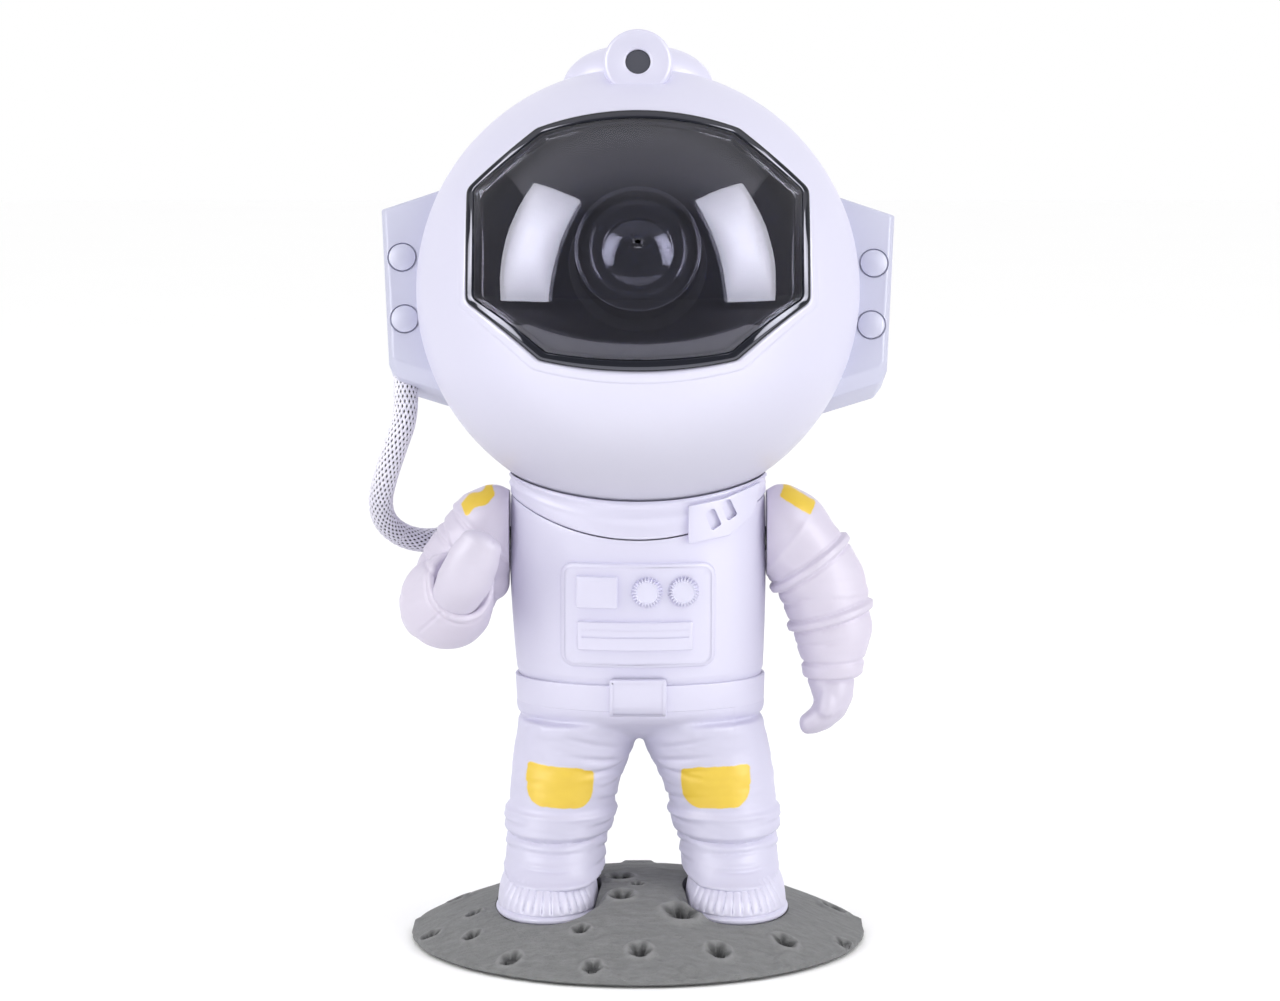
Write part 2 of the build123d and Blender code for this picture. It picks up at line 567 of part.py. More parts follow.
def visor_prism(grow):
    """The visor's eight-sided outline, run forward along the optical axis."""
    with BuildPart() as body:
        with BuildSketch(Plane.XZ):
            with BuildLine():
                ThreePointArc((-VISOR_TOP_X, VISOR_UP_CORNER), (0, VISOR_UP), (VISOR_TOP_X, VISOR_UP_CORNER))
                Polyline(
                    (VISOR_TOP_X, VISOR_UP_CORNER),
                    (VISOR_X, VISOR_UP_SIDE),
                    (VISOR_X, -VISOR_DOWN_SIDE),
                    (VISOR_LOW_X, -VISOR_DOWN_CORNER),
                )
                ThreePointArc(
                    (VISOR_LOW_X, -VISOR_DOWN_CORNER), (0, -VISOR_DOWN), (-VISOR_LOW_X, -VISOR_DOWN_CORNER)
                )
                Polyline(
                    (-VISOR_LOW_X, -VISOR_DOWN_CORNER),
                    (-VISOR_X, -VISOR_DOWN_SIDE),
                    (-VISOR_X, VISOR_UP_SIDE),
                    (-VISOR_TOP_X, VISOR_UP_CORNER),
                )
            make_face()
            if grow:
                offset(amount=grow)
        extrude(amount=BALL_R + 20)
    return body.part


def half_space(s):
    """All points of the head in front of (s = -1) or behind (s = 1) its parting plane."""
    with BuildPart() as block:
        with Locations((0, s * (100 + SEAT / 2), 0)):
            Box(200, 200, 200)
    return block.part


def helmet_parts():
    """The two shells, their screws, the visor and its bezel."""
    outer, inner = ball(BALL_R), ball(INNER_R)
    with BuildPart() as helmet_front:
        add(outer)
        add(inner, mode=Mode.SUBTRACT)
        for x, z in HELMET_BOSSES:
            add(along_y(BOSS_R - 0.6, x, z, -BOSS_FRONT, 0) & outer)
            add(along_y(SCREW_R, x, z, -14, 0), mode=Mode.SUBTRACT)
        add(visor_prism(SEAT), mode=Mode.SUBTRACT)
        add(along_y(MODULE_R + SEAT, 0, LAMP_Z, -BALL_R, 0), mode=Mode.SUBTRACT)
        add(half_space(-1), mode=Mode.INTERSECT)
    save(helmet_front, "helmet_front", HEAD)

    vents = [(x, z) for x in (-12, -6, 0, 6, 12) for z in (28,)]
    with BuildPart() as helmet_rear:
        add(outer)
        add(inner, mode=Mode.SUBTRACT)
        for x, z in HELMET_BOSSES:
            add(along_y(BOSS_R, x, z, 0, BOSS_REAR) & outer)
            add(along_y(SCREW_R + SEAT, x, z, -1, BALL_R), mode=Mode.SUBTRACT)
            add(along_y(SCREW_HEAD_R + 0.4, x, z, BOSS_SEAT, BALL_R), mode=Mode.SUBTRACT)
        for x in (-BUTTON_X, BUTTON_X):
            add(along_y(BUTTON_R + RUN, x, BUTTON_Z, 20, BALL_R), mode=Mode.SUBTRACT)
        with Locations((0, BALL_R, USB_Z)):
            Box(USB_W + 0.4, 30, USB_H + 0.4, mode=Mode.SUBTRACT)
        with Locations(*[(x, BALL_R - 10, z) for x, z in vents]):
            Box(2, 30, 14, mode=Mode.SUBTRACT)
        add(half_space(1), mode=Mode.INTERSECT)
    save(helmet_rear, "helmet_rear", HEAD)

    with BuildPart() as helmet_screws:
        for x, z in HELMET_BOSSES:
            add(screw((x, BOSS_SEAT + SEAT + SCREW_HEAD_H, z), (0, -1, 0), 18))
    save(helmet_screws, "helmet_screws", HEAD)

    with BuildPart() as visor:
        add(ball(VISOR_OUT))
        add(ball(VISOR_OUT - VISOR_T), mode=Mode.SUBTRACT)
        add(visor_prism(0), mode=Mode.INTERSECT)
    save(visor, "visor", HEAD)

    with BuildPart() as visor_bezel:
        add(ball(BEZEL_OUT) & visor_prism(BEZEL_LAP))
        add(ball(VISOR_OUT - VISOR_T - SEAT) & visor_prism(-0.4))
        add(ball(BEZEL_OUT - BEZEL_T), mode=Mode.SUBTRACT)
        add(visor_prism(-BEZEL_LAP), mode=Mode.SUBTRACT)
    save(visor_bezel, "visor_bezel", HEAD)


def optics_parts():
    """The mask, lens barrel, dome lens, light source and heat sink."""
    with BuildPart() as inner_mask:
        add(along_y(MASK_R, 0, 0, -MASK_Y, -MASK_Y + MASK_T))
        add(along_y(BARREL_R + SEAT, 0, 0, -MASK_Y - 1, 0), mode=Mode.SUBTRACT)
        for angle in POST_ANGLES:
            x, z = POST_RING_R * cos(radians(angle)), POST_RING_R * sin(radians(angle))
            add(along_y(POST_R, x, z, -MASK_Y + MASK_T, -SINK_Y - SEAT))
    save(inner_mask, "inner_mask", HEAD)

    with BuildPart() as lens_barrel:
        add(along_y(BARREL_R, 0, 0, -BARREL_FRONT, -BARREL_BACK))
        add(along_y(BARREL_R + 1.6, 0, 0, -MASK_Y + MASK_T + SEAT, -MASK_Y + MASK_T + 1.6))
        add(along_y(BARREL_R + 1.6, 0, 0, -MASK_Y - 1.6, -MASK_Y - SEAT))
        add(along_y(BARREL_R - BARREL_WALL, 0, 0, -60, 0), mode=Mode.SUBTRACT)
    save(lens_barrel, "lens_barrel", HEAD)

    glass_r = BARREL_R - BARREL_WALL - SEAT
    with BuildPart() as projection_lens:
        add(along_y(glass_r, 0, 0, -GLASS_FRONT, -GLASS_BACK))
        add(along_y(DOME_SKIRT_R, 0, 0, -GLASS_FRONT - 1.2, -GLASS_FRONT))
        add(ball(DOME_R, (0, -GLASS_BACK - 0.6, 0)))
        add(along_y(30, 0, 0, -GLASS_BACK, -20), mode=Mode.SUBTRACT)
    save(projection_lens, "projection_lens", HEAD)

    with BuildPart() as led_board:
        add(along_y(LED_R, 0, 0, -SINK_Y - LED_T, -SINK_Y))
    save(led_board, "led_board", HEAD)

    board_front = -SINK_Y - LED_T - SEAT
    with BuildPart() as led_emitters:
        with Locations(*[(x, board_front - 0.6, z) for x in (-2.4, 2.4) for z in (-2.4, 2.4)]):
            Box(3.6, 1.2, 3.6)
    save(led_emitters, "led_emitters", HEAD)

    with BuildPart() as condenser_lens:
        add(along_y(LED_R - 0.2, 0, 0, -15, board_front))
        add(along_y(LED_R - 1.6, 0, 0, -12, 0), mode=Mode.SUBTRACT)
        add(ball(14.0, (0, -4.2, 0)) & along_y(LED_R - 0.2, 0, 0, -30, -14.9))
    save(condenser_lens, "condenser_lens", HEAD)

    with BuildPart() as heat_sink:
        add(along_y(SINK_R, 0, 0, -SINK_Y + SEAT, -SINK_Y + SINK_T))
        for k in range(-4, 5):
            half = sqrt(24.0**2 - (5.2 * k) ** 2)
            with Locations((5.2 * k, -SINK_Y + SINK_T + 6, 0)):
                Box(1.4, 12, 2 * half)
    save(heat_sink, "heat_sink", HEAD)


def tooth_ring(teeth, bore, front, back, centre=(0, 0), turn=0.0):
    """A spur gear about a line parallel to Y, with straight-flanked teeth; turn in degrees."""
    pitch = GEAR_MODULE * teeth / 2
    outer, root = pitch + 0.85 * GEAR_MODULE, pitch - 1.05 * GEAR_MODULE
    half = [(root, 0.30), (pitch, 0.222), (outer, 0.12)]
    points = []
    for k in range(teeth):
        middle = turn + 360 * k / teeth
        for r, share in half:
            points.append((r, middle - share * 360 / teeth))
        for r, share in reversed(half):
            points.append((r, middle + share * 360 / teeth))
    corners = [(r * cos(radians(a)), r * sin(radians(a))) for r, a in points]
    with BuildPart() as gear:
        with BuildSketch(Plane(origin=(centre[0], front, centre[1]), x_dir=(1, 0, 0), z_dir=(0, -1, 0))):
            with BuildLine():
                Polyline(*corners, close=True)
            make_face()
            if bore:
                Circle(bore, mode=Mode.SUBTRACT)
        extrude(amount=front - back)
    return gear.part


def drive_parts():
    """The rippled disc with its toothed rim, the pinion that turns it and the motor."""
    front, back = -BARREL_BACK - GEAR_T - 0.4, -BARREL_BACK + 0.2
    reach = GEAR_MODULE * (DISC_TEETH + PINION_TEETH) / 2 + BACKLASH
    x, z = reach * cos(radians(PINION_ANGLE)), reach * sin(radians(PINION_ANGLE))
    with BuildPart() as ripple_disc:
        add(tooth_ring(DISC_TEETH, BARREL_R + RUN, front, back, turn=PINION_ANGLE))
        add(along_y(GEAR_MODULE * DISC_TEETH / 2 - 1, 0, 0, back, back + 1.2))
    save(ripple_disc, "ripple_disc", HEAD)

    gap_at = PINION_ANGLE + 180 + 180 / PINION_TEETH
    with BuildPart() as ripple_pinion:
        add(tooth_ring(PINION_TEETH, 0, front, back, centre=(x, z), turn=gap_at))
        add(along_y(1.0, x, z, back, -14))
    save(ripple_pinion, "ripple_pinion", HEAD)

    with BuildPart() as ripple_motor:
        add(along_y(6.0, x, z, back + 1.5, -SINK_Y))
        add(along_y(1.0 + RUN, x, z, -30, -13), mode=Mode.SUBTRACT)
    save(ripple_motor, "ripple_motor", HEAD)


def lamp_parts():
    """The crest on top of the helmet, with the star laser inside."""
    hump = scale(ball(1), by=(HUMP_X, HUMP_Y, HUMP_Z)).moved(Location((0, -HUMP_BACK, LAMP_Z + 0.3)))
    with BuildPart() as lamp_housing:
        add(along_y(LAMP_R, 0, LAMP_Z, -LAMP_FRONT, -10))
        add(hump)
        add(ball(BALL_R + SEAT), mode=Mode.SUBTRACT)
        add(along_y(MODULE_R + SEAT, 0, LAMP_Z, -LAMP_FRONT - 1, -LAMP_FRONT + MODULE_L + 2), mode=Mode.SUBTRACT)
        add(along_y(LAMP_R - 1.2, 0, LAMP_Z, -LAMP_FRONT - 1, -LAMP_FRONT + 1.6), mode=Mode.SUBTRACT)
    save(lamp_housing, "lamp_housing", HEAD)

    with BuildPart() as lamp_face:
        add(along_y(LAMP_R - 1.25, 0, LAMP_Z, -LAMP_FRONT + 0.2, -LAMP_FRONT + 1.6 - SEAT))
        add(along_y(LAMP_WINDOW_R + SEAT, 0, LAMP_Z, -50, 0), mode=Mode.SUBTRACT)
        add(ball(BALL_R + SEAT), mode=Mode.SUBTRACT)
    save(lamp_face, "lamp_face", HEAD)

    with BuildPart() as lamp_window:
        add(along_y(LAMP_WINDOW_R, 0, LAMP_Z, -LAMP_FRONT + 0.1, -LAMP_FRONT + 1.6 - SEAT))
    save(lamp_window, "lamp_window", HEAD)

    with BuildPart() as laser_module:
        add(along_y(MODULE_R, 0, LAMP_Z, -LAMP_FRONT + 1.6, -LAMP_FRONT + 1.6 + MODULE_L))
    save(laser_module, "laser_module", HEAD)


def pod_outline(s, inset):
    """Front outline of an ear pod, as XZ corners from the helmet outwards."""
    low = POD_DOWN + POD_SLOPE * (POD_LOW_X - POD_INNER_X) / 14
    high = POD_UP + POD_SLOPE * (POD_X - POD_INNER_X) / 14
    return [
        (s * POD_INNER_X, -low + inset),
        (s * (POD_LOW_X - inset), -POD_DOWN + inset),
        (s * (POD_X - inset), POD_UP - inset),
        (s * POD_INNER_X, high - inset),
    ]


def pod_block(s, inset, front, back):
    with BuildPart() as body:
        with BuildSketch(Plane.XZ.offset(-front)):
            with BuildLine():
                Polyline(*pod_outline(s, inset), close=True)
            make_face()
        extrude(amount=front - back)
        if not inset:
            rim = body.faces().sort_by(Axis.X)[-1 if s > 0 else 0]
            fillet(rim.edges(), 1.4)
    return body.part


def pod_parts():
    """The ear pods with their studs, and the ferrule where the hose leaves the right-hand pod."""
    seat = ball(BALL_R + SEAT)
    ferrule = (FERRULE_X, FERRULE_Y)
    for s, side in ((1, "left"), (-1, "right")):
        with BuildPart() as ear_pod:
            add(pod_block(s, 0, -POD_FRONT, -POD_FRONT + POD_D))
            add(pod_block(s, POD_WALL, -POD_FRONT + POD_WALL, -POD_FRONT + POD_D - POD_WALL), mode=Mode.SUBTRACT)
            add(seat, mode=Mode.SUBTRACT)
            if s < 0:
                add(rod(FERRULE_R + SEAT, (*ferrule, -POD_DOWN + 2), (*ferrule, -40)), mode=Mode.SUBTRACT)
        save(ear_pod, f"ear_pod_{side}", HEAD)

    with BuildPart() as pod_ferrule:
        add(rod(FERRULE_R, (*ferrule, -POD_DOWN + 2), (*ferrule, FERRULE_END)))
    save(pod_ferrule, "pod_ferrule", HEAD)

    with BuildPart() as ear_studs:
        for s in (-1, 1):
            for x, z in ((STUD_X, STUD_UP), (STUD_X - 0.8, STUD_DOWN)):
                add(along_y(STUD_R, s * x, z, -POD_FRONT - 1.0, -POD_FRONT - SEAT))
                add(ball(STUD_R * 1.6, (s * x, -POD_FRONT - 1.6 + STUD_R * 1.6, z)) & along_y(STUD_R, s * x, z, -9, -POD_FRONT - 0.9))
    save(ear_studs, "ear_studs", HEAD)


def electronics_parts():
    """The main board, its socket and switches, the push buttons and the steel keeper."""
    with BuildPart() as main_board:
        with BuildSketch(Plane.XZ.offset(-BOARD_Y)):
            RectangleRounded(48, 40, 2)
        extrude(amount=-BOARD_T)
    save(main_board, "main_board", HEAD)

    face = BOARD_Y + BOARD_T + SEAT
    with BuildPart() as usb_socket:
        with Locations((0, (face + USB_FACE) / 2, USB_Z)):
            Box(USB_W, USB_FACE - face, USB_H)
        with Locations((0, USB_FACE, USB_Z)):
            Box(USB_W - 1, 12, USB_H - 1, mode=Mode.SUBTRACT)
    save(usb_socket, "usb_socket", HEAD)

    with BuildPart() as tact_switches:
        for x in (-BUTTON_X, BUTTON_X):
            with Locations((x, face + 2, BUTTON_Z)):
                Box(6, 4, 6)
            add(along_y(1.6, x, BUTTON_Z, face + 4, SWITCH_TOP))
    save(tact_switches, "tact_switches", HEAD)

    for x, name in ((-BUTTON_X, "power_button"), (BUTTON_X, "mode_button")):
        with BuildPart() as button:
            add(along_y(BUTTON_R, x, BUTTON_Z, BUTTON_BACK + BUTTON_LIP, BUTTON_FACE))
            add(along_y(BUTTON_R + 0.9, x, BUTTON_Z, BUTTON_BACK, BUTTON_BACK + BUTTON_LIP))
            fillet(button.faces().sort_by(Axis.Y)[-1].edges(), 0.5)
        save(button, name, HEAD)

    down = (0, 60 * sin(radians(TILT)), -60 * cos(radians(TILT)))
    with BuildPart() as keeper_plate:
        add(ball(INNER_R - SEAT))
        add(ball(INNER_R - SEAT - KEEPER_T), mode=Mode.SUBTRACT)
        add(rod(KEEPER_R, (0, 0, 0), down), mode=Mode.INTERSECT)
        add(half_space(1), mode=Mode.INTERSECT)
    save(keeper_plate, "keeper_plate", HEAD)


# Hose --------------------------------------------------------------------------------------------
FERRULE_X, FERRULE_Y, FERRULE_END = -BALL_R - 3.0, 9.0, -25.5
HOSE = [
    (FERRULE_X, 2.08, BALL_Z - 27.01),
    (FERRULE_X, 0.79, BALL_Z - 31.84),
    (-60.4, 0.6, 124.6),
    (-63.4, 3.0, 116.0),
    (-65.4, 7.6, 108.6),
    (-64.0, 12.4, 101.6),
    (-58.4, 16.4, 97.2),
    (-50.8, 19.2, 97.2),
    (-43.2, 23.0, 100.2),
    (-34.9, PORT_Y, PORT_Z),
    (-PACK_W / 2 - FERRULE_L - 2 * SEAT, PORT_Y, PORT_Z),
]
HOSE_SPLIT = 5  # the run whose middle is where the two lengths meet


def hose_length(points, label):
    """A round hose along straight runs joined by arcs as large as the runs allow."""
    runs = [Vector(*b) - Vector(*a) for a, b in zip(points, points[1:])]
    radii = []
    for a, b in zip(runs, runs[1:]):
        half_turn = radians(a.get_angle(b)) / 2
        radii.append(0.45 * min(a.length, b.length) / tan(half_turn))
    with BuildPart() as hose:
        with BuildLine() as line:
            FilletPolyline(*points, radius=radii)
        with BuildSketch(Plane(origin=points[0], z_dir=runs[0])):
            Circle(HOSE_R)
        sweep(path=line.line)
    long = sum(edge.length for edge in line.line.edges())
    share = hose.part.volume / (pi * HOSE_R**2 * long)
    print(f"{label}: radii {[round(r, 1) for r in radii]}, {long:.1f} mm long, volume share {share:.4f}")
    save(hose, label)


def hose_parts():
    a, b = HOSE[HOSE_SPLIT], HOSE[HOSE_SPLIT + 1]
    middle = tuple((p + q) / 2 for p, q in zip(a, b))
    hose_length(HOSE[: HOSE_SPLIT + 1] + [middle], "hose_upper")
    hose_length([middle] + HOSE[HOSE_SPLIT + 1 :], "hose_lower")


base_parts()
torso_parts()
neck_parts()
trim_parts()
leg_and_boot("left")
leg_and_boot("right")
arm_parts()
helmet_parts()
optics_parts()
drive_parts()
lamp_parts()
pod_parts()
electronics_parts()
hose_parts()
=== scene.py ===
import json
import math

import bmesh
import bpy
from mathutils import Matrix, Vector, noise


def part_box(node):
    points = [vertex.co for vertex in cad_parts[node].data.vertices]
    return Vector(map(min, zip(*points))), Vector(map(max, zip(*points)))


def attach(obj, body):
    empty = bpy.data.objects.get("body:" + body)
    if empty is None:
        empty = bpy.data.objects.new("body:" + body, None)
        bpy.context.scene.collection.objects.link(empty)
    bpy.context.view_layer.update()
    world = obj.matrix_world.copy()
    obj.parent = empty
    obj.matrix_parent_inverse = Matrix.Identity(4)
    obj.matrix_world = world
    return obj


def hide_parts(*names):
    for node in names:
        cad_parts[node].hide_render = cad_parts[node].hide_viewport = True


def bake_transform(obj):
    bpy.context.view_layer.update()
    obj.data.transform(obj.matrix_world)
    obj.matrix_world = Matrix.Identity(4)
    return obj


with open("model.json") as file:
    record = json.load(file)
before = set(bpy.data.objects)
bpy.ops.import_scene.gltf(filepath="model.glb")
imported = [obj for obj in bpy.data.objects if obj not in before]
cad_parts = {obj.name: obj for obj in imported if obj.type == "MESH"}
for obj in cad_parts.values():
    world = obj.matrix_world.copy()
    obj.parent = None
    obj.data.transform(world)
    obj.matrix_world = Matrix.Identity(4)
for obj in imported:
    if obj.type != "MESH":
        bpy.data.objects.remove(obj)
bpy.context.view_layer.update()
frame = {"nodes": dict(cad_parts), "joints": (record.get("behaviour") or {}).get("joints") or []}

# Sizes are in millimetres. Those of the head are in its own frame, which looks along -Y, and the
# others in the row frame. A size that a solid has is read from it.
MM = 0.001
JOINTS = {joint["name"]: joint for joint in frame["joints"]}


def low(node):
    """The lower corner of a solid's box."""
    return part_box(node)[0] / MM


def high(node):
    """The upper corner of a solid's box."""
    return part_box(node)[1] / MM


def pivot(joint):
    return Vector(JOINTS[joint]["pos_m"]) / MM


BALL = pivot("head_nod")
TILT = 15.0  # the head looks up by this many degrees
HEAD = Matrix.Translation(BALL) @ Matrix.Rotation(math.radians(-TILT), 4, "X")
BALL_R = (high("helmet_rear").x - low("helmet_rear").x) / 2
BALL_WALL = 2.4


# Mesh helpers -----------------------------------------------------------------------------------
WELD = 0.002  # points nearer than this are one point


def at_share(items, share):
    """The item that lies this share of the way through a list."""
    return items[round(share * (len(items) - 1))]


def mapped(columns, rows, place):
    """A grid of quads whose vertices go to place(column share, row share), with its seams merged."""
    bm = bmesh.new()
    bmesh.ops.create_grid(bm, x_segments=columns, y_segments=rows, size=0.5)
    for vert in bm.verts:
        vert.co = place(vert.co.x + 0.5, vert.co.y + 0.5)
    bmesh.ops.remove_doubles(bm, verts=bm.verts, dist=WELD)
    return bm


def open_edges(bm):
    return [edge for edge in bm.edges if edge.is_boundary]


def closed(bm):
    """Fill every open rim."""
    bmesh.ops.holes_fill(bm, edges=open_edges(bm), sides=0)
    return bm


def bridged(bm):
    """Join the two open rims with a strip."""
    bmesh.ops.bridge_loops(bm, edges=open_edges(bm))
    return bm


def of_type(kind, items):
    return [item for item in items if isinstance(item, kind)]


def together(*parts):
    """One mesh made of several."""
    whole = bmesh.new()
    for part in parts:
        mesh = bpy.data.meshes.new("part")
        part.to_mesh(mesh)
        part.free()
        whole.from_mesh(mesh)
        bpy.data.meshes.remove(mesh)
    return whole


def moved(bm, matrix):
    bmesh.ops.transform(bm, matrix=matrix, verts=bm.verts)
    return bm


def sharpened(mesh, angle):
    """Smooth shading, except over edges that turn by more than this many degrees."""
    mesh.polygons.foreach_set("use_smooth", [True] * len(mesh.polygons))
    mesh.set_sharp_from_angle(angle=math.radians(angle))


def piece(name, body, bm, finish, place=Matrix(), stands_for=(), sharp=35.0):
    """Turn a mesh in millimetres into a finished piece that rides on a body of the frame."""
    bmesh.ops.remove_doubles(bm, verts=bm.verts, dist=WELD)
    bmesh.ops.recalc_face_normals(bm, faces=bm.faces)
    moved(bm, Matrix.Scale(MM, 4) @ place)
    mesh = bpy.data.meshes.new(name)
    bm.to_mesh(mesh)
    bm.free()
    sharpened(mesh, sharp)
    mesh.materials.append(finish)
    made = bpy.data.objects.new(name, mesh)
    bpy.context.scene.collection.objects.link(made)
    if body:
        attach(made, body)
    if stands_for:
        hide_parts(*stands_for)
    return made


def turned(profile, steps=96):
    """A profile of (radius, height) points turned about the Z axis."""
    def place(u, v):
        radius, height = at_share(profile, v)
        angle = math.tau * u
        return Vector((radius * math.cos(angle), radius * math.sin(angle), height))

    return mapped(steps, len(profile) - 1, place)


def rounded(points, radius):
    """A closed outline with its corners rounded; radius is one number, or one for each corner."""
    steps = 6
    radii = radius if isinstance(radius, (list, tuple)) else [radius] * len(points)
    outline = []
    for k, r in enumerate(radii):
        here, before, after = (Vector(points[i]) for i in (k, k - 1, (k + 1) % len(points)))
        to_before, to_after = (before - here).normalized(), (after - here).normalized()
        half = to_before.angle(to_after) / 2
        if r <= 0 or half > math.radians(89):
            outline.append(here)
            continue
        reach = r / math.tan(half)
        centre = here + (to_before + to_after).normalized() * (r / math.sin(half))
        start, end = here + to_before * reach - centre, here + to_after * reach - centre
        for step in range(steps + 1):
            outline.append(centre + start.slerp(end, step / steps) * r)
    return outline


def bevelled(bm, edges, offset, segments=3):
    """Round these edges over."""
    bmesh.ops.bevel(
        bm, geom=edges, offset=offset, segments=segments, affect="EDGES", profile=0.5, material=-1
    )
    return bm


def slab(outline, bottom, top, edge=0.3, segments=3):
    """An outline in the XY plane made a plate from bottom to top, with its upper rim rounded."""
    bm = bmesh.new()
    verts = [bm.verts.new((point[0], point[1], bottom)) for point in outline]
    base = bm.faces.new(verts)
    raised = bmesh.ops.extrude_face_region(bm, geom=[base])
    lid = of_type(bmesh.types.BMVert, raised["geom"])
    bmesh.ops.translate(bm, vec=(0, 0, top - bottom), verts=lid)
    rim = [side for side in bm.edges if all(vert in lid for vert in side.verts)]
    return bevelled(bm, rim, edge, segments) if edge > 0 else bm


def ease(share):
    """From 0 to 1 with a soft start and end."""
    share = min(1.0, max(0.0, share))
    return share * share * (3 - 2 * share)


def ridge(distance, width):
    """A round bump of height 1 at distance 0."""
    return math.exp(-((distance / width) ** 2))


def between(a, b, slope_a, slope_b, t):
    """A share t of the way from a to b, on a curve that leaves and arrives with these slopes."""
    start = (2 * t**3 - 3 * t**2 + 1) * a + (t**3 - 2 * t**2 + t) * slope_a
    return start + ((3 * t**2 - 2 * t**3) * b + (t**3 - t**2) * slope_b)


def along(stations, z):
    """Values between stations that are sorted by their first number, on a smooth curve."""
    z = min(max(z, stations[0][0]), stations[-1][0])
    k = 0
    while k < len(stations) - 2 and z > stations[k + 1][0]:
        k += 1
    a, b = stations[k], stations[k + 1]
    before, after = stations[max(k - 1, 0)], stations[min(k + 2, len(stations) - 1)]
    span = b[0] - a[0]
    t = (z - a[0]) / span
    values = []
    for i in range(1, len(a)):
        slope_a = (b[i] - before[i]) / (b[0] - before[0]) * span
        slope_b = (after[i] - a[i]) / (after[0] - a[0]) * span
        values.append(between(a[i], b[i], slope_a, slope_b, t))
    return values


def sleeve(stations, columns, rows, relief=None, round_low=0.0):
    """A closed body through level ellipses (z, middle x, middle y, half width, half depth). relief
    gives how far a point of it stands out; round_low rounds its lower end."""
    bottom, top = stations[0][0], stations[-1][0]
    ends = 0.06  # the share of the rows that closes each end

    def level(share):
        if share < ends:
            return bottom, share / ends
        if share > 1 - ends:
            return top, (1 - share) / ends
        return bottom + (top - bottom) * (share - ends) / (1 - 2 * ends), 1.0

    def place(u, v):
        z, full = level(v)
        x, y, half_width, half_depth = along(stations, z)
        angle = math.tau * u
        c, s = math.cos(angle), math.sin(angle)
        draw = 0.0
        if z - bottom < round_low:
            draw = round_low - math.sqrt(round_low**2 - (round_low - (z - bottom)) ** 2)
        wide, deep = max(half_width - draw, 0.1) * full, max(half_depth - draw, 0.1) * full
        point = Vector((x + wide * c, y + deep * s, z))
        if relief and full == 1.0:
            out = Vector((c / half_width, s / half_depth, 0)).normalized()
            point += out * relief(point)
        return point

    return mapped(columns, rows, place)


# Finishes ---------------------------------------------------------------------------------------
class Field:
    """A number that varies over a surface: the output of a shader node."""

    def __init__(self, finish, socket):
        self.finish, self.socket = finish, socket

    def maths(self, operation, a, b=0.0):
        return self.finish.node("ShaderNodeMath", {"operation": operation}, {0: a, 1: b})

    def __add__(self, other):
        return self.maths("ADD", self, other)

    def __sub__(self, other):
        return self.maths("SUBTRACT", self, other)

    def __mul__(self, other):
        return self.maths("MULTIPLY", self, other)

    def __rsub__(self, other):
        return self.maths("SUBTRACT", other, self)

    __radd__ = __add__

    def above(self, edge, blur):
        """0 under the edge and 1 over it, with a soft step of this width."""
        settings = {"interpolation_type": "SMOOTHSTEP"}
        ends = {"Value": self, "From Min": edge - blur / 2, "From Max": edge + blur / 2}
        return self.finish.node("ShaderNodeMapRange", settings, ends)

    def size(self):
        return self.maths("ABSOLUTE", self)

    def whole(self):
        return self.maths("ROUND", self)

    def root(self):
        return self.maths("SQRT", self)

    def sine(self):
        return self.maths("SINE", self)

    def most(self, other):
        return self.maths("MAXIMUM", self, other)

    def least(self, other):
        return self.maths("MINIMUM", self, other)


class Finish:
    """A procedural material that reads the piece's own coordinates, in metres."""

    def __init__(self, name, **fixed):
        self.material = bpy.data.materials.new(name)
        self.material.use_nodes = True
        self.tree = self.material.node_tree
        self.shader = self.tree.nodes["Principled BSDF"]
        for socket, value in fixed.items():
            self.shader.inputs[socket.replace("_", " ")].default_value = value

    def node(self, kind, settings, inputs, output=0):
        """Add a node, with its settings made before its sockets get their values or links."""
        made = self.tree.nodes.new(kind)
        for key, value in settings.items():
            setattr(made, key, value)
        for key, value in inputs.items():
            if isinstance(value, Field):
                self.tree.links.new(value.socket, made.inputs[key])
            else:
                made.inputs[key].default_value = value
        return Field(self, made.outputs[output])

    def place(self):
        return self.node("ShaderNodeTexCoord", {}, {}, "Object")

    def axis(self, name):
        """One coordinate of the surface, in millimetres."""
        parts = self.node("ShaderNodeSeparateXYZ", {}, {0: self.place()}, name)
        return parts * (1 / MM)

    def grain(self, scale, detail=2.0, roughness=0.5, stretch=None):
        """Even noise, or noise that is squeezed along the axes by the factors in stretch."""
        place = self.place()
        if stretch:
            place = self.node("ShaderNodeMapping", {}, {"Vector": place, "Scale": stretch})
        values = {"Vector": place, "Scale": scale, "Detail": detail, "Roughness": roughness}
        return self.node("ShaderNodeTexNoise", {}, values, "Fac")

    def chart(self, name):
        """Both coordinates of one of the piece's own UV maps."""
        uv = self.node("ShaderNodeUVMap", {"uv_map": name}, {}, 0)
        return [self.node("ShaderNodeSeparateXYZ", {}, {0: uv}, axis) for axis in "XY"]

    def mix(self, share, first, second):
        """A colour between two others."""
        def full(colour):
            return colour if isinstance(colour, Field) else (*colour, 1.0)

        settings = {"data_type": "RGBA"}
        return self.node("ShaderNodeMix", settings, {0: share, 6: full(first), 7: full(second)}, 2)

    def colour(self, value):
        self.feed("Base Color", value)

    def feed(self, socket, value):
        self.tree.links.new(value.socket, self.shader.inputs[socket])

    def relief(self, height, distance):
        """Small relief, with its depth in millimetres."""
        values = {"Height": height, "Distance": distance * MM, "Strength": 1.0}
        self.feed("Normal", self.node("ShaderNodeBump", {}, values, "Normal"))


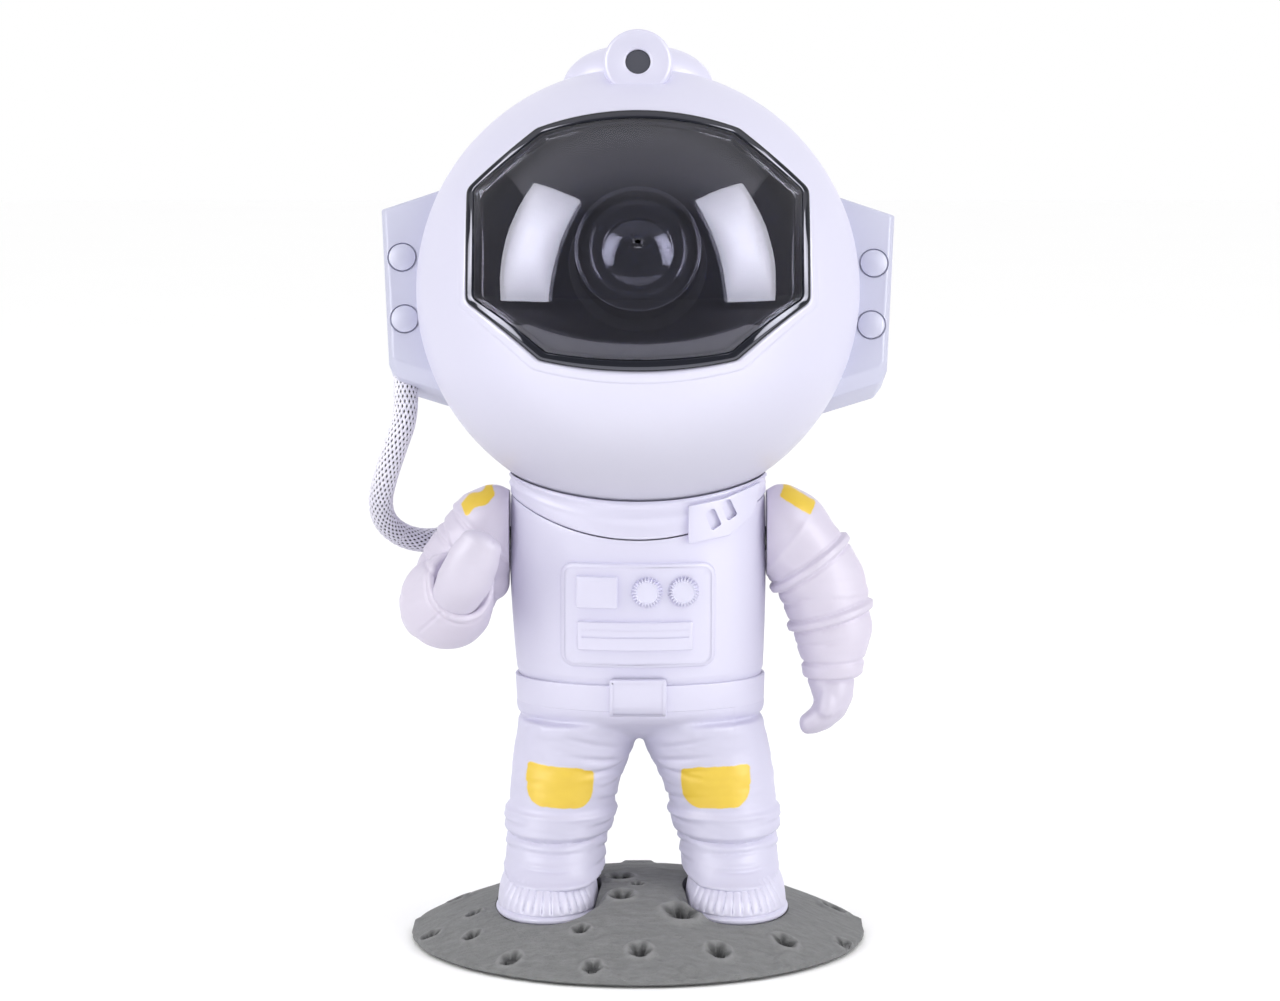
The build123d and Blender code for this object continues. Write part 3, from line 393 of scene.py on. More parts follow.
def moulded(name, colour, shade, roughness, grain, speckle=2600.0, **fixed):
    """Moulded plastic: a slow drift between two near colours, and a fine grain in gloss and relief."""
    finish = Finish(name, **fixed)
    drift = finish.grain(38.0, 3.0)
    spark = finish.grain(speckle, 2.0, 0.6)
    finish.colour(finish.mix(drift, shade, colour))
    finish.feed("Roughness", roughness - 0.05 + drift * 0.06 + spark * 0.04)
    finish.relief(spark, grain)
    return finish


def satin(level):
    """The shader's own values for a soft gloss of this strength."""
    return {"IOR": 1.38, "Specular_IOR_Level": level}


def gloss(ior, red, green):
    """The shader's own values for a cool gloss."""
    return {"IOR": ior, "Specular_Tint": (red, green, 1.0, 1.0)}


# the last of these colours is painted shade for the helmet's underside
HELMET_WHITE, HELMET_SHADE, PAINTED_NECK_SHADE = (0.645, 0.635, 0.77), (0.625, 0.615, 0.755), (0.56, 0.55, 0.645)
TROUSER_WHITE, TROUSER_SHADE = (0.605, 0.59, 0.73), (0.585, 0.57, 0.71)
SLEEVE_WHITE, SLEEVE_SHADE = (0.625, 0.585, 0.695), (0.60, 0.555, 0.665)
PATCH_YELLOW, PATCH_SHADE = (0.79, 0.565, 0.055), (0.74, 0.50, 0.05)
PLASTICS = {  # colour, shade, roughness, depth of the grain, the shader's own values
    "suit plastic": ((0.635, 0.62, 0.76), (0.615, 0.60, 0.74), 0.48, 0.015, satin(0.3)),
    "trim plastic": ((0.66, 0.65, 0.79), (0.645, 0.635, 0.775), 0.45, 0.012, satin(0.35)),
    "hand plastic": ((0.60, 0.565, 0.675), (0.58, 0.54, 0.65), 0.5, 0.01, satin(0.25)),
    "pod plastic": ((0.525, 0.53, 0.66), (0.51, 0.515, 0.645), 0.5, 0.02, satin(0.3)),
    "black plastic": ((0.008, 0.0085, 0.011), (0.012, 0.012, 0.015), 0.5, 0.02, {}),
    "gloss black": ((0.004, 0.005, 0.009), (0.006, 0.007, 0.012), 0.06, 0.0005, gloss(1.33, 0.86, 0.86)),
    "smoked pane": ((0.066, 0.068, 0.084), (0.078, 0.080, 0.098), 0.12, 0.002, gloss(1.35, 0.9, 0.9)),
    "lens black": ((0.003, 0.004, 0.008), (0.004, 0.005, 0.010), 0.03, 0.0002, gloss(1.9, 0.92, 0.92)),
    "mask black": ((0.0015, 0.002, 0.008), (0.002, 0.0025, 0.010), 0.75, 0.01,
                   {"IOR": 1.2, "Specular_IOR_Level": 0.1}),
    "phosphor": ((0.85, 0.62, 0.10), (0.80, 0.54, 0.07), 0.4, 0.02, {}),
}


def plastic(name):
    """A plain moulded plastic from the table."""
    *values, fixed = PLASTICS[name]
    return moulded(name, *values, **fixed).material


def helmet_plastic():
    """Satin white shells with a cool tint, with painted shade darkening them towards the neck."""
    finish = moulded("helmet plastic", HELMET_WHITE, HELMET_SHADE, 0.42, 0.012, **satin(0.35))
    # painted shade: the colour darkens towards the bottom of the helmet, where less light falls
    painted_low_shade = 1.0 - finish.axis("Z").above(132.0, 36.0)
    unshaded = finish.mix(finish.grain(38.0, 3.0), HELMET_SHADE, HELMET_WHITE)
    finish.colour(finish.mix(painted_low_shade, unshaded, PAINTED_NECK_SHADE))
    return finish.material


def patch(finish, middle, size, corner, turn, wave=0.0):
    """1 inside a rounded rectangle seen from the front, whose edge wavers a little."""
    x, z = finish.axis("X") - middle[0], finish.axis("Z") - middle[1]
    c, s = math.cos(math.radians(turn)), math.sin(math.radians(turn))
    across, up = x * c + z * s, z * c - x * s
    if wave:
        up = up + (across * 1.1).sine() * wave
    over_x = (across.size() - (size[0] / 2 - corner)).most(0.0)
    over_z = (up.size() - (size[1] / 2 - corner)).most(0.0)
    reach = (over_x * over_x + over_z * over_z).root()
    rough_edge = finish.grain(500.0, 2.0) * 0.5
    inside = 1.0 - (reach + rough_edge).above(corner + 0.25, 0.45)
    return inside * (1.0 - finish.axis("Y").above(2.0, 0.3))


def painted(name, colour, shade, patches):
    """Matt plastic with hand-painted yellow patches."""
    finish = Finish(name, IOR=1.38, Specular_IOR_Level=0.25)
    drift, spark = finish.grain(38.0, 3.0), finish.grain(2600.0, 2.0, 0.6)
    mask = None
    for given in patches:
        one = patch(finish, *given)
        mask = one if mask is None else mask.most(one)
    brushed = finish.mix(finish.grain(260.0, 3.0), PATCH_YELLOW, PATCH_SHADE)
    finish.colour(finish.mix(mask, finish.mix(drift, shade, colour), brushed))
    finish.feed("Roughness", 0.5 + spark * 0.06 - mask * 0.06)
    finish.relief(spark * 0.15 + mask * 0.5, 0.05)
    return finish.material


def trouser_plastic():
    knees = [((-19.4, 40.7), (16.4, 10.4), 4.4, -3.0), ((-19.4, 43.0), (16.8, 5.4), 1.1, -6.5)]
    knees += [((19.3, 40.7), (16.8, 10.6), 4.6, 1.5), ((19.3, 43.0), (17.2, 5.6), 1.1, 3.5)]
    return painted("trouser plastic", TROUSER_WHITE, TROUSER_SHADE, knees)


def sleeve_plastic(s, side):
    """A sleeve's plastic, with one slanted patch on the shoulder."""
    spot = ((s * 39.7, 111.5), (8.8, 3.2), 0.6, -s * 30.0, 0.35 if s < 0 else 0.0)
    return painted(f"{side} sleeve plastic", SLEEVE_WHITE, SLEEVE_SHADE, [spot])


def metal(name, colour, shade, roughness, stretch):
    """Turned or rolled metal, brushed along one direction."""
    finish = Finish(name, Metallic=1.0)
    brush = finish.grain(900.0, 3.0, stretch=stretch)
    finish.colour(finish.mix(brush, shade, colour))
    finish.feed("Roughness", roughness + brush * 0.15)
    finish.relief(brush, 0.01)
    return finish.material


def board():
    """Green solder mask with faint copper tracks under it."""
    finish = Finish("circuit board", Coat_Roughness=0.2)
    cells = {"Vector": finish.place(), "Scale": 420.0}
    tracks = finish.node("ShaderNodeTexVoronoi", {"feature": "DISTANCE_TO_EDGE"}, cells, 0)
    track = 1.0 - tracks.above(0.06, 0.04)
    finish.colour(finish.mix(track, (0.012, 0.12, 0.045), (0.03, 0.24, 0.09)))
    finish.feed("Roughness", 0.35 + track * 0.1)
    finish.relief(track, 0.03)
    return finish.material


def see_through(name, tint, hazy, roughness, change, **fixed):
    """Clear or smoked plastic with a very slight haze."""
    finish = Finish(name, Transmission_Weight=1.0, **fixed)
    haze = finish.grain(60.0, 2.0)
    finish.colour(finish.mix(haze, tint, hazy))
    finish.feed("Roughness", roughness + haze * change)
    return finish.material


def smoked_visor():
    """Nearly black smoked plastic with a bluish gloss."""
    tints = (0.30, 0.30, 0.34), (0.32, 0.32, 0.36)
    return see_through("smoked visor", *tints, 0.02, 0.015, **gloss(1.30, 0.86, 0.85))


def clear_plastic():
    return see_through("clear plastic", (0.94, 0.95, 0.97), (0.9118, 0.9215, 0.9409), 0.03, 0.01, IOR=1.49)


# Stage ------------------------------------------------------------------------------------------
CAMERA_FROM = Vector((0.0005, -0.900, 0.213))
CAMERA_PITCH, CAMERA_LENS, SENSOR = 83.5, 101.9, 36.0
BOX_AZIMUTH, BOX_ELEVATION, LIGHT_AWAY = 59.0, 23.3, 1.3


def camera():
    eye = bpy.data.cameras.new("camera")
    eye.lens, eye.sensor_width, eye.sensor_fit = CAMERA_LENS, SENSOR, "HORIZONTAL"
    holder = bpy.data.objects.new("camera", eye)
    holder.location = CAMERA_FROM
    holder.rotation_euler = (math.radians(CAMERA_PITCH), 0, 0)
    bpy.context.scene.collection.objects.link(holder)
    bpy.context.scene.camera = holder


def soft_box(name, azimuth, elevation, distance, width, height, watts):
    """A rectangular light that looks at the middle of the figure; azimuth 0 is in front of it."""
    light = bpy.data.lights.new(name, "AREA")
    light.shape, light.size, light.size_y, light.energy = "RECTANGLE", width, height, watts
    holder = bpy.data.objects.new(name, light)
    a, e = math.radians(azimuth), math.radians(elevation)
    target = Vector((0, 0, 0.13))
    ray = Vector((math.sin(a) * math.cos(e), -math.cos(a) * math.cos(e), math.sin(e)))
    holder.location = target + ray * distance
    holder.rotation_euler = ray.to_track_quat("Z", "Y").to_euler()
    bpy.context.scene.collection.objects.link(holder)
    return holder


def studio():
    """Two tall soft boxes that the gloss mirrors, a faint ceiling glow, side fills and a white room."""
    for side, fill in ((-1, 2.5), (1, 3.8)):
        towards = side * BOX_AZIMUTH, BOX_ELEVATION
        soft_box("soft box", *towards, LIGHT_AWAY, 0.70, 1.22, 58.0).visible_diffuse = False
        for step in range(5):
            wide, tall = 0.58 - 0.09 * step, 1.0 - 0.17 * step
            core = soft_box("soft box core", *towards, 1.29 - 0.01 * step, wide, tall, 12.0 * wide * tall)
            core.visible_diffuse = False
        soft_box("side fill", side * 75, 20, LIGHT_AWAY, 1.0, 1.3, fill).visible_glossy = False
    for step in range(5):
        soft_box("ceiling", 0, 68 + 4.5 * step, LIGHT_AWAY, 3.0, 1.0, 4.4).visible_diffuse = False
    glow = soft_box("table glow", 0, -90, LIGHT_AWAY, 1.2, 0.315, 6.2)
    glow.location, glow.rotation_euler = (0, -0.2375, 0.0005), (math.pi, 0, 0)
    glow.visible_camera = glow.visible_diffuse = False
    world = bpy.data.worlds.new("white room")
    world.use_nodes = True
    world.node_tree.nodes["Background"].inputs["Color"].default_value = (1.0, 1.0, 1.0, 1.0)
    world.node_tree.nodes["Background"].inputs["Strength"].default_value = 1.0
    bpy.context.scene.world = world
    bpy.context.scene.view_settings.view_transform = "Standard"


def floor():
    """A wide pale floor."""
    paint = Finish("floor paint", Specular_IOR_Level=0.2)
    cloud = paint.grain(3.0, 2.0)
    paint.colour(paint.mix(cloud, (0.985, 0.985, 0.985), (0.995, 0.995, 0.995)))
    paint.feed("Roughness", 0.85 + cloud * 0.05)
    wide = 12000.0
    bm = mapped(8, 8, lambda u, v: Vector((u - 0.5, v - 0.5, 0)) * wide)
    piece("floor", None, bm, paint.material)


camera()
studio()
floor()


# Helmet -----------------------------------------------------------------------------------------
VISOR_X, VISOR_TOP_X, VISOR_LOW_X = 0.7455 * BALL_R, 0.44 * BALL_R, 0.4255 * BALL_R
VISOR_UP, VISOR_UP_CORNER, VISOR_UP_SIDE = 0.631 * BALL_R, 0.571 * BALL_R, 0.3273 * BALL_R
VISOR_DOWN, VISOR_DOWN_CORNER, VISOR_DOWN_SIDE = 0.531 * BALL_R, 0.469 * BALL_R, 0.1855 * BALL_R
VISOR_CORNER_R = 2.6
LIP_AT, LIP_RISE = 2.6, 0.32  # a shallow step around the lower half of the visor
EQUATOR = math.pi / 2


def bow(x, edge, middle, steps):
    """Points of a shallow arc from (x, edge) over (0, middle) to (-x, edge), ends left out."""
    rise = middle - edge
    radius = (x * x + rise * rise) / (2 * abs(rise))
    side = math.copysign(1, rise)
    spread = math.asin(x / radius)
    angles = [spread * (1 - 2 * k / steps) for k in range(1, steps)]
    return [(radius * math.sin(a), middle - side * radius * (1 - math.cos(a))) for a in angles]


def visor_outline():
    """The visor's eight-sided outline with bowed top and bottom, as (x, z) about the optical axis."""
    steps = 26
    top = bow(VISOR_TOP_X, VISOR_UP_CORNER, VISOR_UP, steps)
    bottom = [(-x, z) for x, z in bow(VISOR_LOW_X, -VISOR_DOWN_CORNER, -VISOR_DOWN, steps)]
    corners = [(VISOR_TOP_X, VISOR_UP_CORNER), (-VISOR_TOP_X, VISOR_UP_CORNER)]
    corners += [(-VISOR_X, VISOR_UP_SIDE), (-VISOR_X, -VISOR_DOWN_SIDE)]
    corners += [(-VISOR_LOW_X, -VISOR_DOWN_CORNER), (VISOR_LOW_X, -VISOR_DOWN_CORNER)]
    corners += [(VISOR_X, -VISOR_DOWN_SIDE), (VISOR_X, VISOR_UP_SIDE)]
    points = [corners[0], *top, *corners[1:5], *bottom, *corners[5:]]
    radii = [VISOR_CORNER_R if point in corners else 0 for point in points]
    return spaced(rounded(points, radii), 320)


def spaced(outline, count):
    """The same closed outline with its points at equal distances."""
    ends = outline[1:] + outline[:1]
    lengths = [(b - a).length for a, b in zip(outline, ends)]
    step, travelled, k = sum(lengths) / count, 0.0, 0
    points = []
    for i in range(count):
        while travelled + lengths[k] < i * step:
            travelled += lengths[k]
            k += 1
        points.append(outline[k].lerp(ends[k], (i * step - travelled) / lengths[k]))
    return points


OUTLINE = visor_outline()


def outline_at(u):
    """The outline's point this share of the way round."""
    return OUTLINE[round(u * len(OUTLINE)) % len(OUTLINE)]


def on_ball(corner, distance, share, radius):
    """A point at a distance outside the visor's outline, and then a share of the way to the
    parting plane; a negative distance lies inside the outline."""
    across = corner.length
    near = math.asin(across / BALL_R) + distance / BALL_R
    angle = near + (EQUATOR - near) * share
    out = corner / across * math.sin(angle) * radius
    return Vector((out.x, -math.cos(angle) * radius, out.y))


def lip(corner, distance):
    """The step's height: it fades out up the sides of the visor."""
    below = 1.0 - ease((corner.y + 0.25 * VISOR_DOWN) / 9.0)
    return LIP_RISE * below * (1.0 - ease((distance - LIP_AT) / 0.7))


def helmet_front(finish):
    """The front shell, with a rounded rim and a shallow lip round the visor."""
    inner = BALL_R - BALL_WALL
    # distances outside the visor's outline, and how deep the first of them sink to round the rim
    near = [0.0, 0.1, 0.25, 0.5, 0.8, 1.3, 2.0, LIP_AT, 2.75, 2.9, 3.05, 3.2, 3.35, 3.6, 4.2]
    sink = [0.85, 0.5, 0.28, 0.1] + [0.0] * (len(near) - 4)
    rows = [(0.0, 0.0, inner)]
    rows += [(distance, 0.0, BALL_R - deep) for distance, deep in zip(near, sink)]
    far, steps = near[-1], 24
    rows += [(far, k / steps, BALL_R) for k in range(1, steps)]
    rows += [(far, 0.996, BALL_R), (far, 1.0, BALL_R - 0.3), (far, 1.0, inner)]
    rows += [(0.0, k / 4, inner) for k in (3, 2, 1, 0)]

    def place(u, v):
        corner = outline_at(u)
        distance, share, radius = at_share(rows, v)
        if radius > inner and share == 0.0:
            radius += lip(corner, distance)
        return on_ball(corner, distance, share, radius)

    bm = mapped(len(OUTLINE), len(rows) - 1, place)
    piece("helmet_front_shell", "head", bm, finish, HEAD, ["helmet_front"])


def arc(radius, start, end, steps, centre=(0.0, 0.0)):
    """Profile points on a circle, by angles in degrees from the first axis."""
    angles = [math.radians(start + (end - start) * k / steps) for k in range(steps + 1)]
    return [(centre[0] + radius * math.cos(a), centre[1] + radius * math.sin(a)) for a in angles]


TO_BACK = Matrix.Rotation(-math.pi / 2, 4, "X")  # turns +Z into +Y
TO_FRONT = Matrix.Rotation(math.pi / 2, 4, "X")  # turns +Z into -Y


def facing(bm, x, y, z):
    """Stand a turned shape at a place, with its top to the front."""
    return moved(bm, Matrix.Translation((x, y, z)) @ TO_FRONT)


def as_object(bm):
    """A blank to put a modifier on."""
    mesh = bpy.data.meshes.new("blank")
    bm.to_mesh(mesh)
    bm.free()
    made = bpy.data.objects.new("blank", mesh)
    bpy.context.scene.collection.objects.link(made)
    return made


def baked(blank):
    """The mesh of a blank with its modifiers applied; the blank is removed."""
    graph = bpy.context.evaluated_depsgraph_get()
    result = bmesh.new()
    result.from_mesh(blank.evaluated_get(graph).to_mesh())
    mesh = blank.data
    bpy.data.objects.remove(blank)
    bpy.data.meshes.remove(mesh)
    return result


def cut(bm, *tools):
    """Take closed shapes out of a closed mesh."""
    for shape in (bm, *tools):
        bmesh.ops.recalc_face_normals(shape, faces=shape.faces)
    blank, tool = as_object(bm), as_object(together(*tools))
    change = blank.modifiers.new("cut", "BOOLEAN")
    change.operation, change.solver, change.object = "DIFFERENCE", "EXACT", tool
    result = baked(blank)
    bpy.data.objects.remove(tool)
    return result


def peg(radius, x, z, front, back):
    """A plain cylinder parallel to the optical axis, for cutting."""
    bm = turned([(0.0, front), (radius, front), (radius, back), (0.0, back)], 48)
    return moved(bm, Matrix.Translation((x, 0, z)) @ TO_BACK)


def block(x, y, z, width, depth, height):
    """A plain box about its middle."""
    bm = bmesh.new()
    bmesh.ops.create_cube(bm, size=1.0)
    bmesh.ops.scale(bm, vec=(width, depth, height), verts=bm.verts)
    return moved(bm, Matrix.Translation((x, y, z)))


BUTTON_X, BUTTON_Z, BUTTON_R = 12.0, 8.0, 4.5
USB_Z, VENT_Z, BOSS_X, BOSS_Z = -13.0, 28.0, 39.5, 23.0


def helmet_rear(finish):
    """The rear shell with its vents, button holes, socket and screw wells."""
    outer = arc(BALL_R, 0, 90, 60)
    inner = arc(BALL_R - BALL_WALL, 90, 0, 24)
    rim = [(BALL_R - 0.3, 0.0), (BALL_R - 0.04, 0.22)]
    bm = turned([*rim, *outer[1:], *inner, rim[0]], 160)
    bmesh.ops.remove_doubles(bm, verts=bm.verts, dist=WELD)
    tools = [block(x, BALL_R, VENT_Z, 2.0, 30.0, 14.0) for x in (-12, -6, 0, 6, 12)]
    tools += [peg(BUTTON_R + 0.1, x, BUTTON_Z, 30, 60) for x in (-BUTTON_X, BUTTON_X)]
    tools += [block(0, BALL_R, USB_Z, 9.4, 30.0, 3.7)]
    tools += [peg(2.9, x, z, 20, 60) for x in (-BOSS_X, BOSS_X) for z in (-BOSS_Z, BOSS_Z)]
    bm = cut(moved(bm, TO_BACK), *tools)
    piece("helmet_rear_shell", "head", bm, finish, HEAD, ["helmet_rear"], sharp=30)


WINDOW_RISE, WINDOW_T, BEAD_W = 0.2, 2.4, 2.8


def visor(glass, black):
    """The smoked window, set in a rounded dark bead whose inner flank drops to the window."""
    # distance inside the outline, and height over the ball
    bead = [(0.0, -3.2), (0.0, -0.1), (0.1, 0.22), (0.3, 0.46), (0.6, 0.60), (1.0, 0.66), (1.35, 0.66)]
    bead += [(1.5, 0.63), (2.0, 0.50), (2.5, 0.37), (2.66, 0.28), (BEAD_W, 0.05), (BEAD_W, -3.2)]
    bead.append(bead[0])

    def gasket(u, v):
        inset, rise = at_share(bead, v)
        return on_ball(outline_at(u), -inset, 0.0, BALL_R + rise)

    ring = mapped(len(OUTLINE), len(bead) - 1, gasket)
    piece("visor_gasket", "head", ring, black, HEAD, ["visor_bezel"], sharp=50)

    edge_in = BEAD_W + 0.03
    outer = [(edge_in, -WINDOW_T), (edge_in, -0.25), (edge_in + 0.06, -0.05), (edge_in + 0.2, 0.12)]
    outer += [(edge_in + 0.45, 0.19), (edge_in + 0.9, WINDOW_RISE)]
    rings = 30  # from the window's edge to its middle, on each face
    last = 2 * rings + len(outer) - 1

    def place(u, v):
        corner = outline_at(u)
        k = round(v * last)
        if k < len(outer):
            inset, rise = outer[k]
            return on_ball(corner, -inset, 0.0, BALL_R + rise)
        k -= len(outer) - 1
        inset = outer[-1][0] if k <= rings else edge_in
        radius = BALL_R + WINDOW_RISE - (0 if k <= rings else WINDOW_T + WINDOW_RISE)
        edge = on_ball(corner, -inset, 0.0, 1.0)
        angle = math.acos(-edge.y) * min(abs(1 - k / rings), 1.0)
        flat = Vector((edge.x, edge.z)).normalized() * math.sin(angle)
        return Vector((flat.x, -math.cos(angle), flat.y)) * radius

    bm = closed(mapped(len(OUTLINE), last, place))
    window = piece("visor_window", "head", bm, glass, HEAD, ["visor"])
    window.visible_shadow = False


def stacked(levels):
    """A closed solid through several outlines with the same number of points."""
    count = len(levels[0])

    def place(u, v):
        return Vector(at_share(levels, v)[round(u * count) % count])

    return closed(mapped(count, len(levels) - 1, place))


def softened(bm, offset):
    """Round every edge over which the surface turns by more than 25 degrees."""
    bmesh.ops.recalc_face_normals(bm, faces=bm.faces)
    limit = math.radians(25)
    edges = [e for e in bm.edges if len(e.link_faces) == 2 and e.calc_face_angle() > limit]
    return bevelled(bm, edges, offset)


BARREL_R, BARREL_FRONT, BARREL_BACK = 14.9, BALL_R - 7.5, 21.0
GLASS_FRONT, DOME_R, DOME_BEND, RING_R = BARREL_FRONT - 2.9, 8.4, 14.5, 11.3


def lens(black, glass):
    """The lens tube with its rounded lip, and the dome lens in a stepped seat."""
    bore = BARREL_R - 1.0
    lip_round = arc(0.5, 0, 180, 10, (BARREL_R - 0.5, BARREL_FRONT - 0.5))
    tube = [(bore, BARREL_BACK), (BARREL_R, BARREL_BACK), *lip_round, (bore, BARREL_BACK)]
    flange = [(BARREL_R - 0.5, 28.4), (BARREL_R + 1.6, 28.4), (BARREL_R + 1.6, 31.6), (BARREL_R - 0.5, 31.6)]
    flange.append(flange[0])
    bm = together(turned(tube, 128), turned(flange, 96))
    piece("lens_tube", "head", moved(bm, TO_FRONT), black, HEAD, ["lens_barrel"])

    centre = GLASS_FRONT + 2.7 - DOME_BEND
    rim = math.degrees(math.acos(DOME_R / DOME_BEND))
    dome = arc(DOME_BEND, rim, 90, 24, (0.0, centre))
    ring = arc(0.38, -10, 190, 10, (RING_R, GLASS_FRONT + 0.5))
    seat = [(0.0, GLASS_FRONT - 3.0), (bore - 0.05, GLASS_FRONT - 3.0), (bore - 0.05, GLASS_FRONT - 0.4)]
    step = [(RING_R - 0.9, GLASS_FRONT + 0.2), (DOME_R + 0.35, GLASS_FRONT)]
    bm = turned([*seat, (bore - 0.3, GLASS_FRONT), *ring, *step, *dome], 128)
    piece("dome_lens", "head", moved(bm, TO_FRONT), glass, HEAD, ["projection_lens"], sharp=40)


LAMP_R, LAMP_Z, LAMP_FRONT, WINDOW_R = 8.3, BALL_R - 5.5, 0.6 * BALL_R, 3.05
HUMP = Vector((19.0, 17.0, 10.9))
HUMP_Y = -3.0


def bulged(value, power):
    """A value drawn towards 1 or -1, which makes a round shape squarer."""
    return math.copysign(abs(value) ** power, value)


def crest(finish, dark, bright):
    """The round lamp housing on its low saddle, with a chamfered hole round the lamp's window."""
    edge = arc(1.1, 0, 90, 8, (LAMP_R - 1.1, LAMP_FRONT - 1.1))
    hole = WINDOW_R + 0.55
    face = [(hole, LAMP_FRONT), (hole - 0.1, LAMP_FRONT - 0.06), (WINDOW_R + 0.05, LAMP_FRONT - 0.6)]
    profile = [(0.0, 8.0), (LAMP_R, 8.0), *edge, *face, (WINDOW_R + 0.05, LAMP_FRONT - 2.0)]
    barrel = facing(turned([*profile, (0.0, LAMP_FRONT - 2.0)], 96), 0, 0, LAMP_Z)

    def saddle(u, v):
        turn, rise = math.tau * u, math.pi * (v - 0.5)
        flat = bulged(math.cos(rise), 0.85)
        x, y = bulged(math.cos(turn), 0.8) * flat, bulged(math.sin(turn), 0.8) * flat
        return Vector((HUMP.x * x, HUMP_Y + HUMP.y * y, LAMP_Z + 0.3 + HUMP.z * math.sin(rise)))

    bm = together(barrel, mapped(96, 48, saddle))
    piece("crest_housing", "head", bm, finish, HEAD, ["lamp_housing", "lamp_face"])

    ring = [(WINDOW_R + 0.02, LAMP_FRONT - 0.5), (WINDOW_R + 0.5, LAMP_FRONT - 0.02)]
    ring += [(WINDOW_R + 0.42, LAMP_FRONT + 0.05), (WINDOW_R + 0.02, LAMP_FRONT - 0.3), ring[0]]
    piece("lamp_window_ring", "head", facing(turned(ring, 64), 0, 0, LAMP_Z), bright, HEAD)

    top = arc(20.0, 81.3, 90, 8, (0.0, LAMP_FRONT - 20.5))
    pane = turned([(0.0, LAMP_FRONT - 1.9), (WINDOW_R, LAMP_FRONT - 1.9), *top], 64)
    piece("lamp_pane", "head", facing(pane, 0, 0, LAMP_Z), dark, HEAD, ["lamp_window"])


POD_X, POD_LOW_X, POD_IN = BALL_R + 9.0, BALL_R + 6.4, 0.8 * BALL_R
POD_UP = 20.0
POD_FRONT, POD_DEPTH = 1.0, 24.0
POD_LEAN = 0.75  # one pod sits this much higher and the other lower
STUD_R, STUD_UP, STUD_DOWN, STUD_X = 3.3, 7.4, -8.2, BALL_R + 3.6
BORE_X, BORE_Y = -BALL_R - 3.0, 9.0  # where the hose goes up into the right pod


def stud_spots(s):
    """The middles of a pod's two studs, seen from the front."""
    return [(s * STUD_X, STUD_UP), (s * (STUD_X - 0.8), STUD_DOWN)]


def ear_pod(s, side, finish):
    """A flat-fronted ear pod with a chamfered foot, and its two domed studs in round wells."""
    full = [(POD_IN, 26.6), (POD_X, POD_UP), (POD_LOW_X + 0.3, -19.6), (POD_LOW_X - 1.9, -22.6)]
    full.append((POD_IN, -27.4))
    front = [(POD_IN, 26.3), (POD_X - 1.0, POD_UP - 0.5), (POD_LOW_X - 0.7, -17.6), (POD_LOW_X - 1.6, -18.6)]
    front.append((POD_IN, -23.8))
    back = [(x - 0.8 if x > POD_IN else x, 0.97 * z) for x, z in full]
    lift = Matrix.Translation((0, 0, -s * POD_LEAN))
    depth = POD_DEPTH - POD_FRONT
    levels = [(front, -POD_FRONT), (full, 1.3), (full, depth - 1.2), (back, depth)]
    bm = stacked([[(s * x, y, z) for x, z in outline] for outline, y in levels])
    bm = softened(bm, 0.45)
    wells = [peg(STUD_R + 0.42, x, z, -POD_FRONT - 1, -POD_FRONT + 0.9) for x, z in stud_spots(s)]
    if s < 0:
        bore = HOSE_D / 2 + 0.1
        well = turned([(0.0, -40), (bore, -40), (bore, -19.6), (0.0, -19.6)], 48)
        wells.append(moved(well, Matrix.Translation((BORE_X, BORE_Y, POD_LEAN * s))))
    bm = moved(cut(bm, *wells), lift)
    piece(f"{side}_pod_shell", "head", bm, finish, HEAD, [f"ear_pod_{side}"], sharp=28)

    dome = arc(STUD_R * 2.2, 63.2, 90, 8, (0.0, 1.15 - STUD_R * 2.2))
    cap = [(0.0, -0.85), (STUD_R, -0.85), (STUD_R, 0.1), (STUD_R - 0.12, 0.32), *dome]
    studs = [facing(turned(cap, 48), x, -POD_FRONT, z) for x, z in stud_spots(s)]
    return moved(together(*studs), lift)


def ears(finish, stud_finish):
    studs = [ear_pod(s, side, finish) for s, side in ((1, "left"), (-1, "right"))]
    piece("pod_studs", "head", together(*studs), stud_finish, HEAD, ["ear_studs"], sharp=30)


# Torso ------------------------------------------------------------------------------------------
HIP_Z, CHEST_Z, NECK_Z = low("torso_front").z, 92.0, 120.0
TORSO = [  # height, middle x, middle y, half width, half depth
    (HIP_Z, 0, 0, 6.0, 4.0),
    (55.0, 0.2, 0, 16.0, 11.0),
    (58.6, 0.5, 0, 27.5, 17.8),
    (60.6, 0.6, 0, 30.4, 21.0),
    (64.0, 0.6, 0, 30.5, 22.2),
    (76.0, 0.3, 0, 31.3, 23.4),
    (CHEST_Z, 0, 0, 32.0, 24.0),
    (106.0, 0, 0, 31.8, 24.0),
    (NECK_Z, 0, 0, 31.6, 24.0),
]
SEAM_FRONT_Z, SEAM_SIDE_Z = 103.5, 112.5
SEAM_R = (32.0**2 + (SEAM_SIDE_Z - SEAM_FRONT_Z) ** 2) / (2 * (SEAM_SIDE_Z - SEAM_FRONT_Z))
HEAD_GAP = 0.35
BELT_Z, BELT_H, BELT_T = 63.8, 6.9, 0.6
PARTING = 0.05


def seam_z(x):
    """Height of the collar's lower edge over a place on the torso's width."""
    return SEAM_FRONT_Z + SEAM_R - math.sqrt(SEAM_R**2 - x * x)


def torso_point(angle, z, out=0.0):
    x, y, half_width, half_depth = along(TORSO, z)
    c, s = math.cos(angle), math.sin(angle)
    normal = Vector((c / half_width, s / half_depth, 0)).normalized()
    return Vector((x + half_width * c, y + half_depth * s, z)) + normal * out


def torso_front_y(x, z, out=0.0):
    """How far forward the torso's front reaches at a place seen from the front."""
    _, y, half_width, half_depth = along(TORSO, z)
    wide, deep = half_width + out, half_depth + out
    return y - deep * math.sqrt(max(0.0, 1 - (x / wide) ** 2))


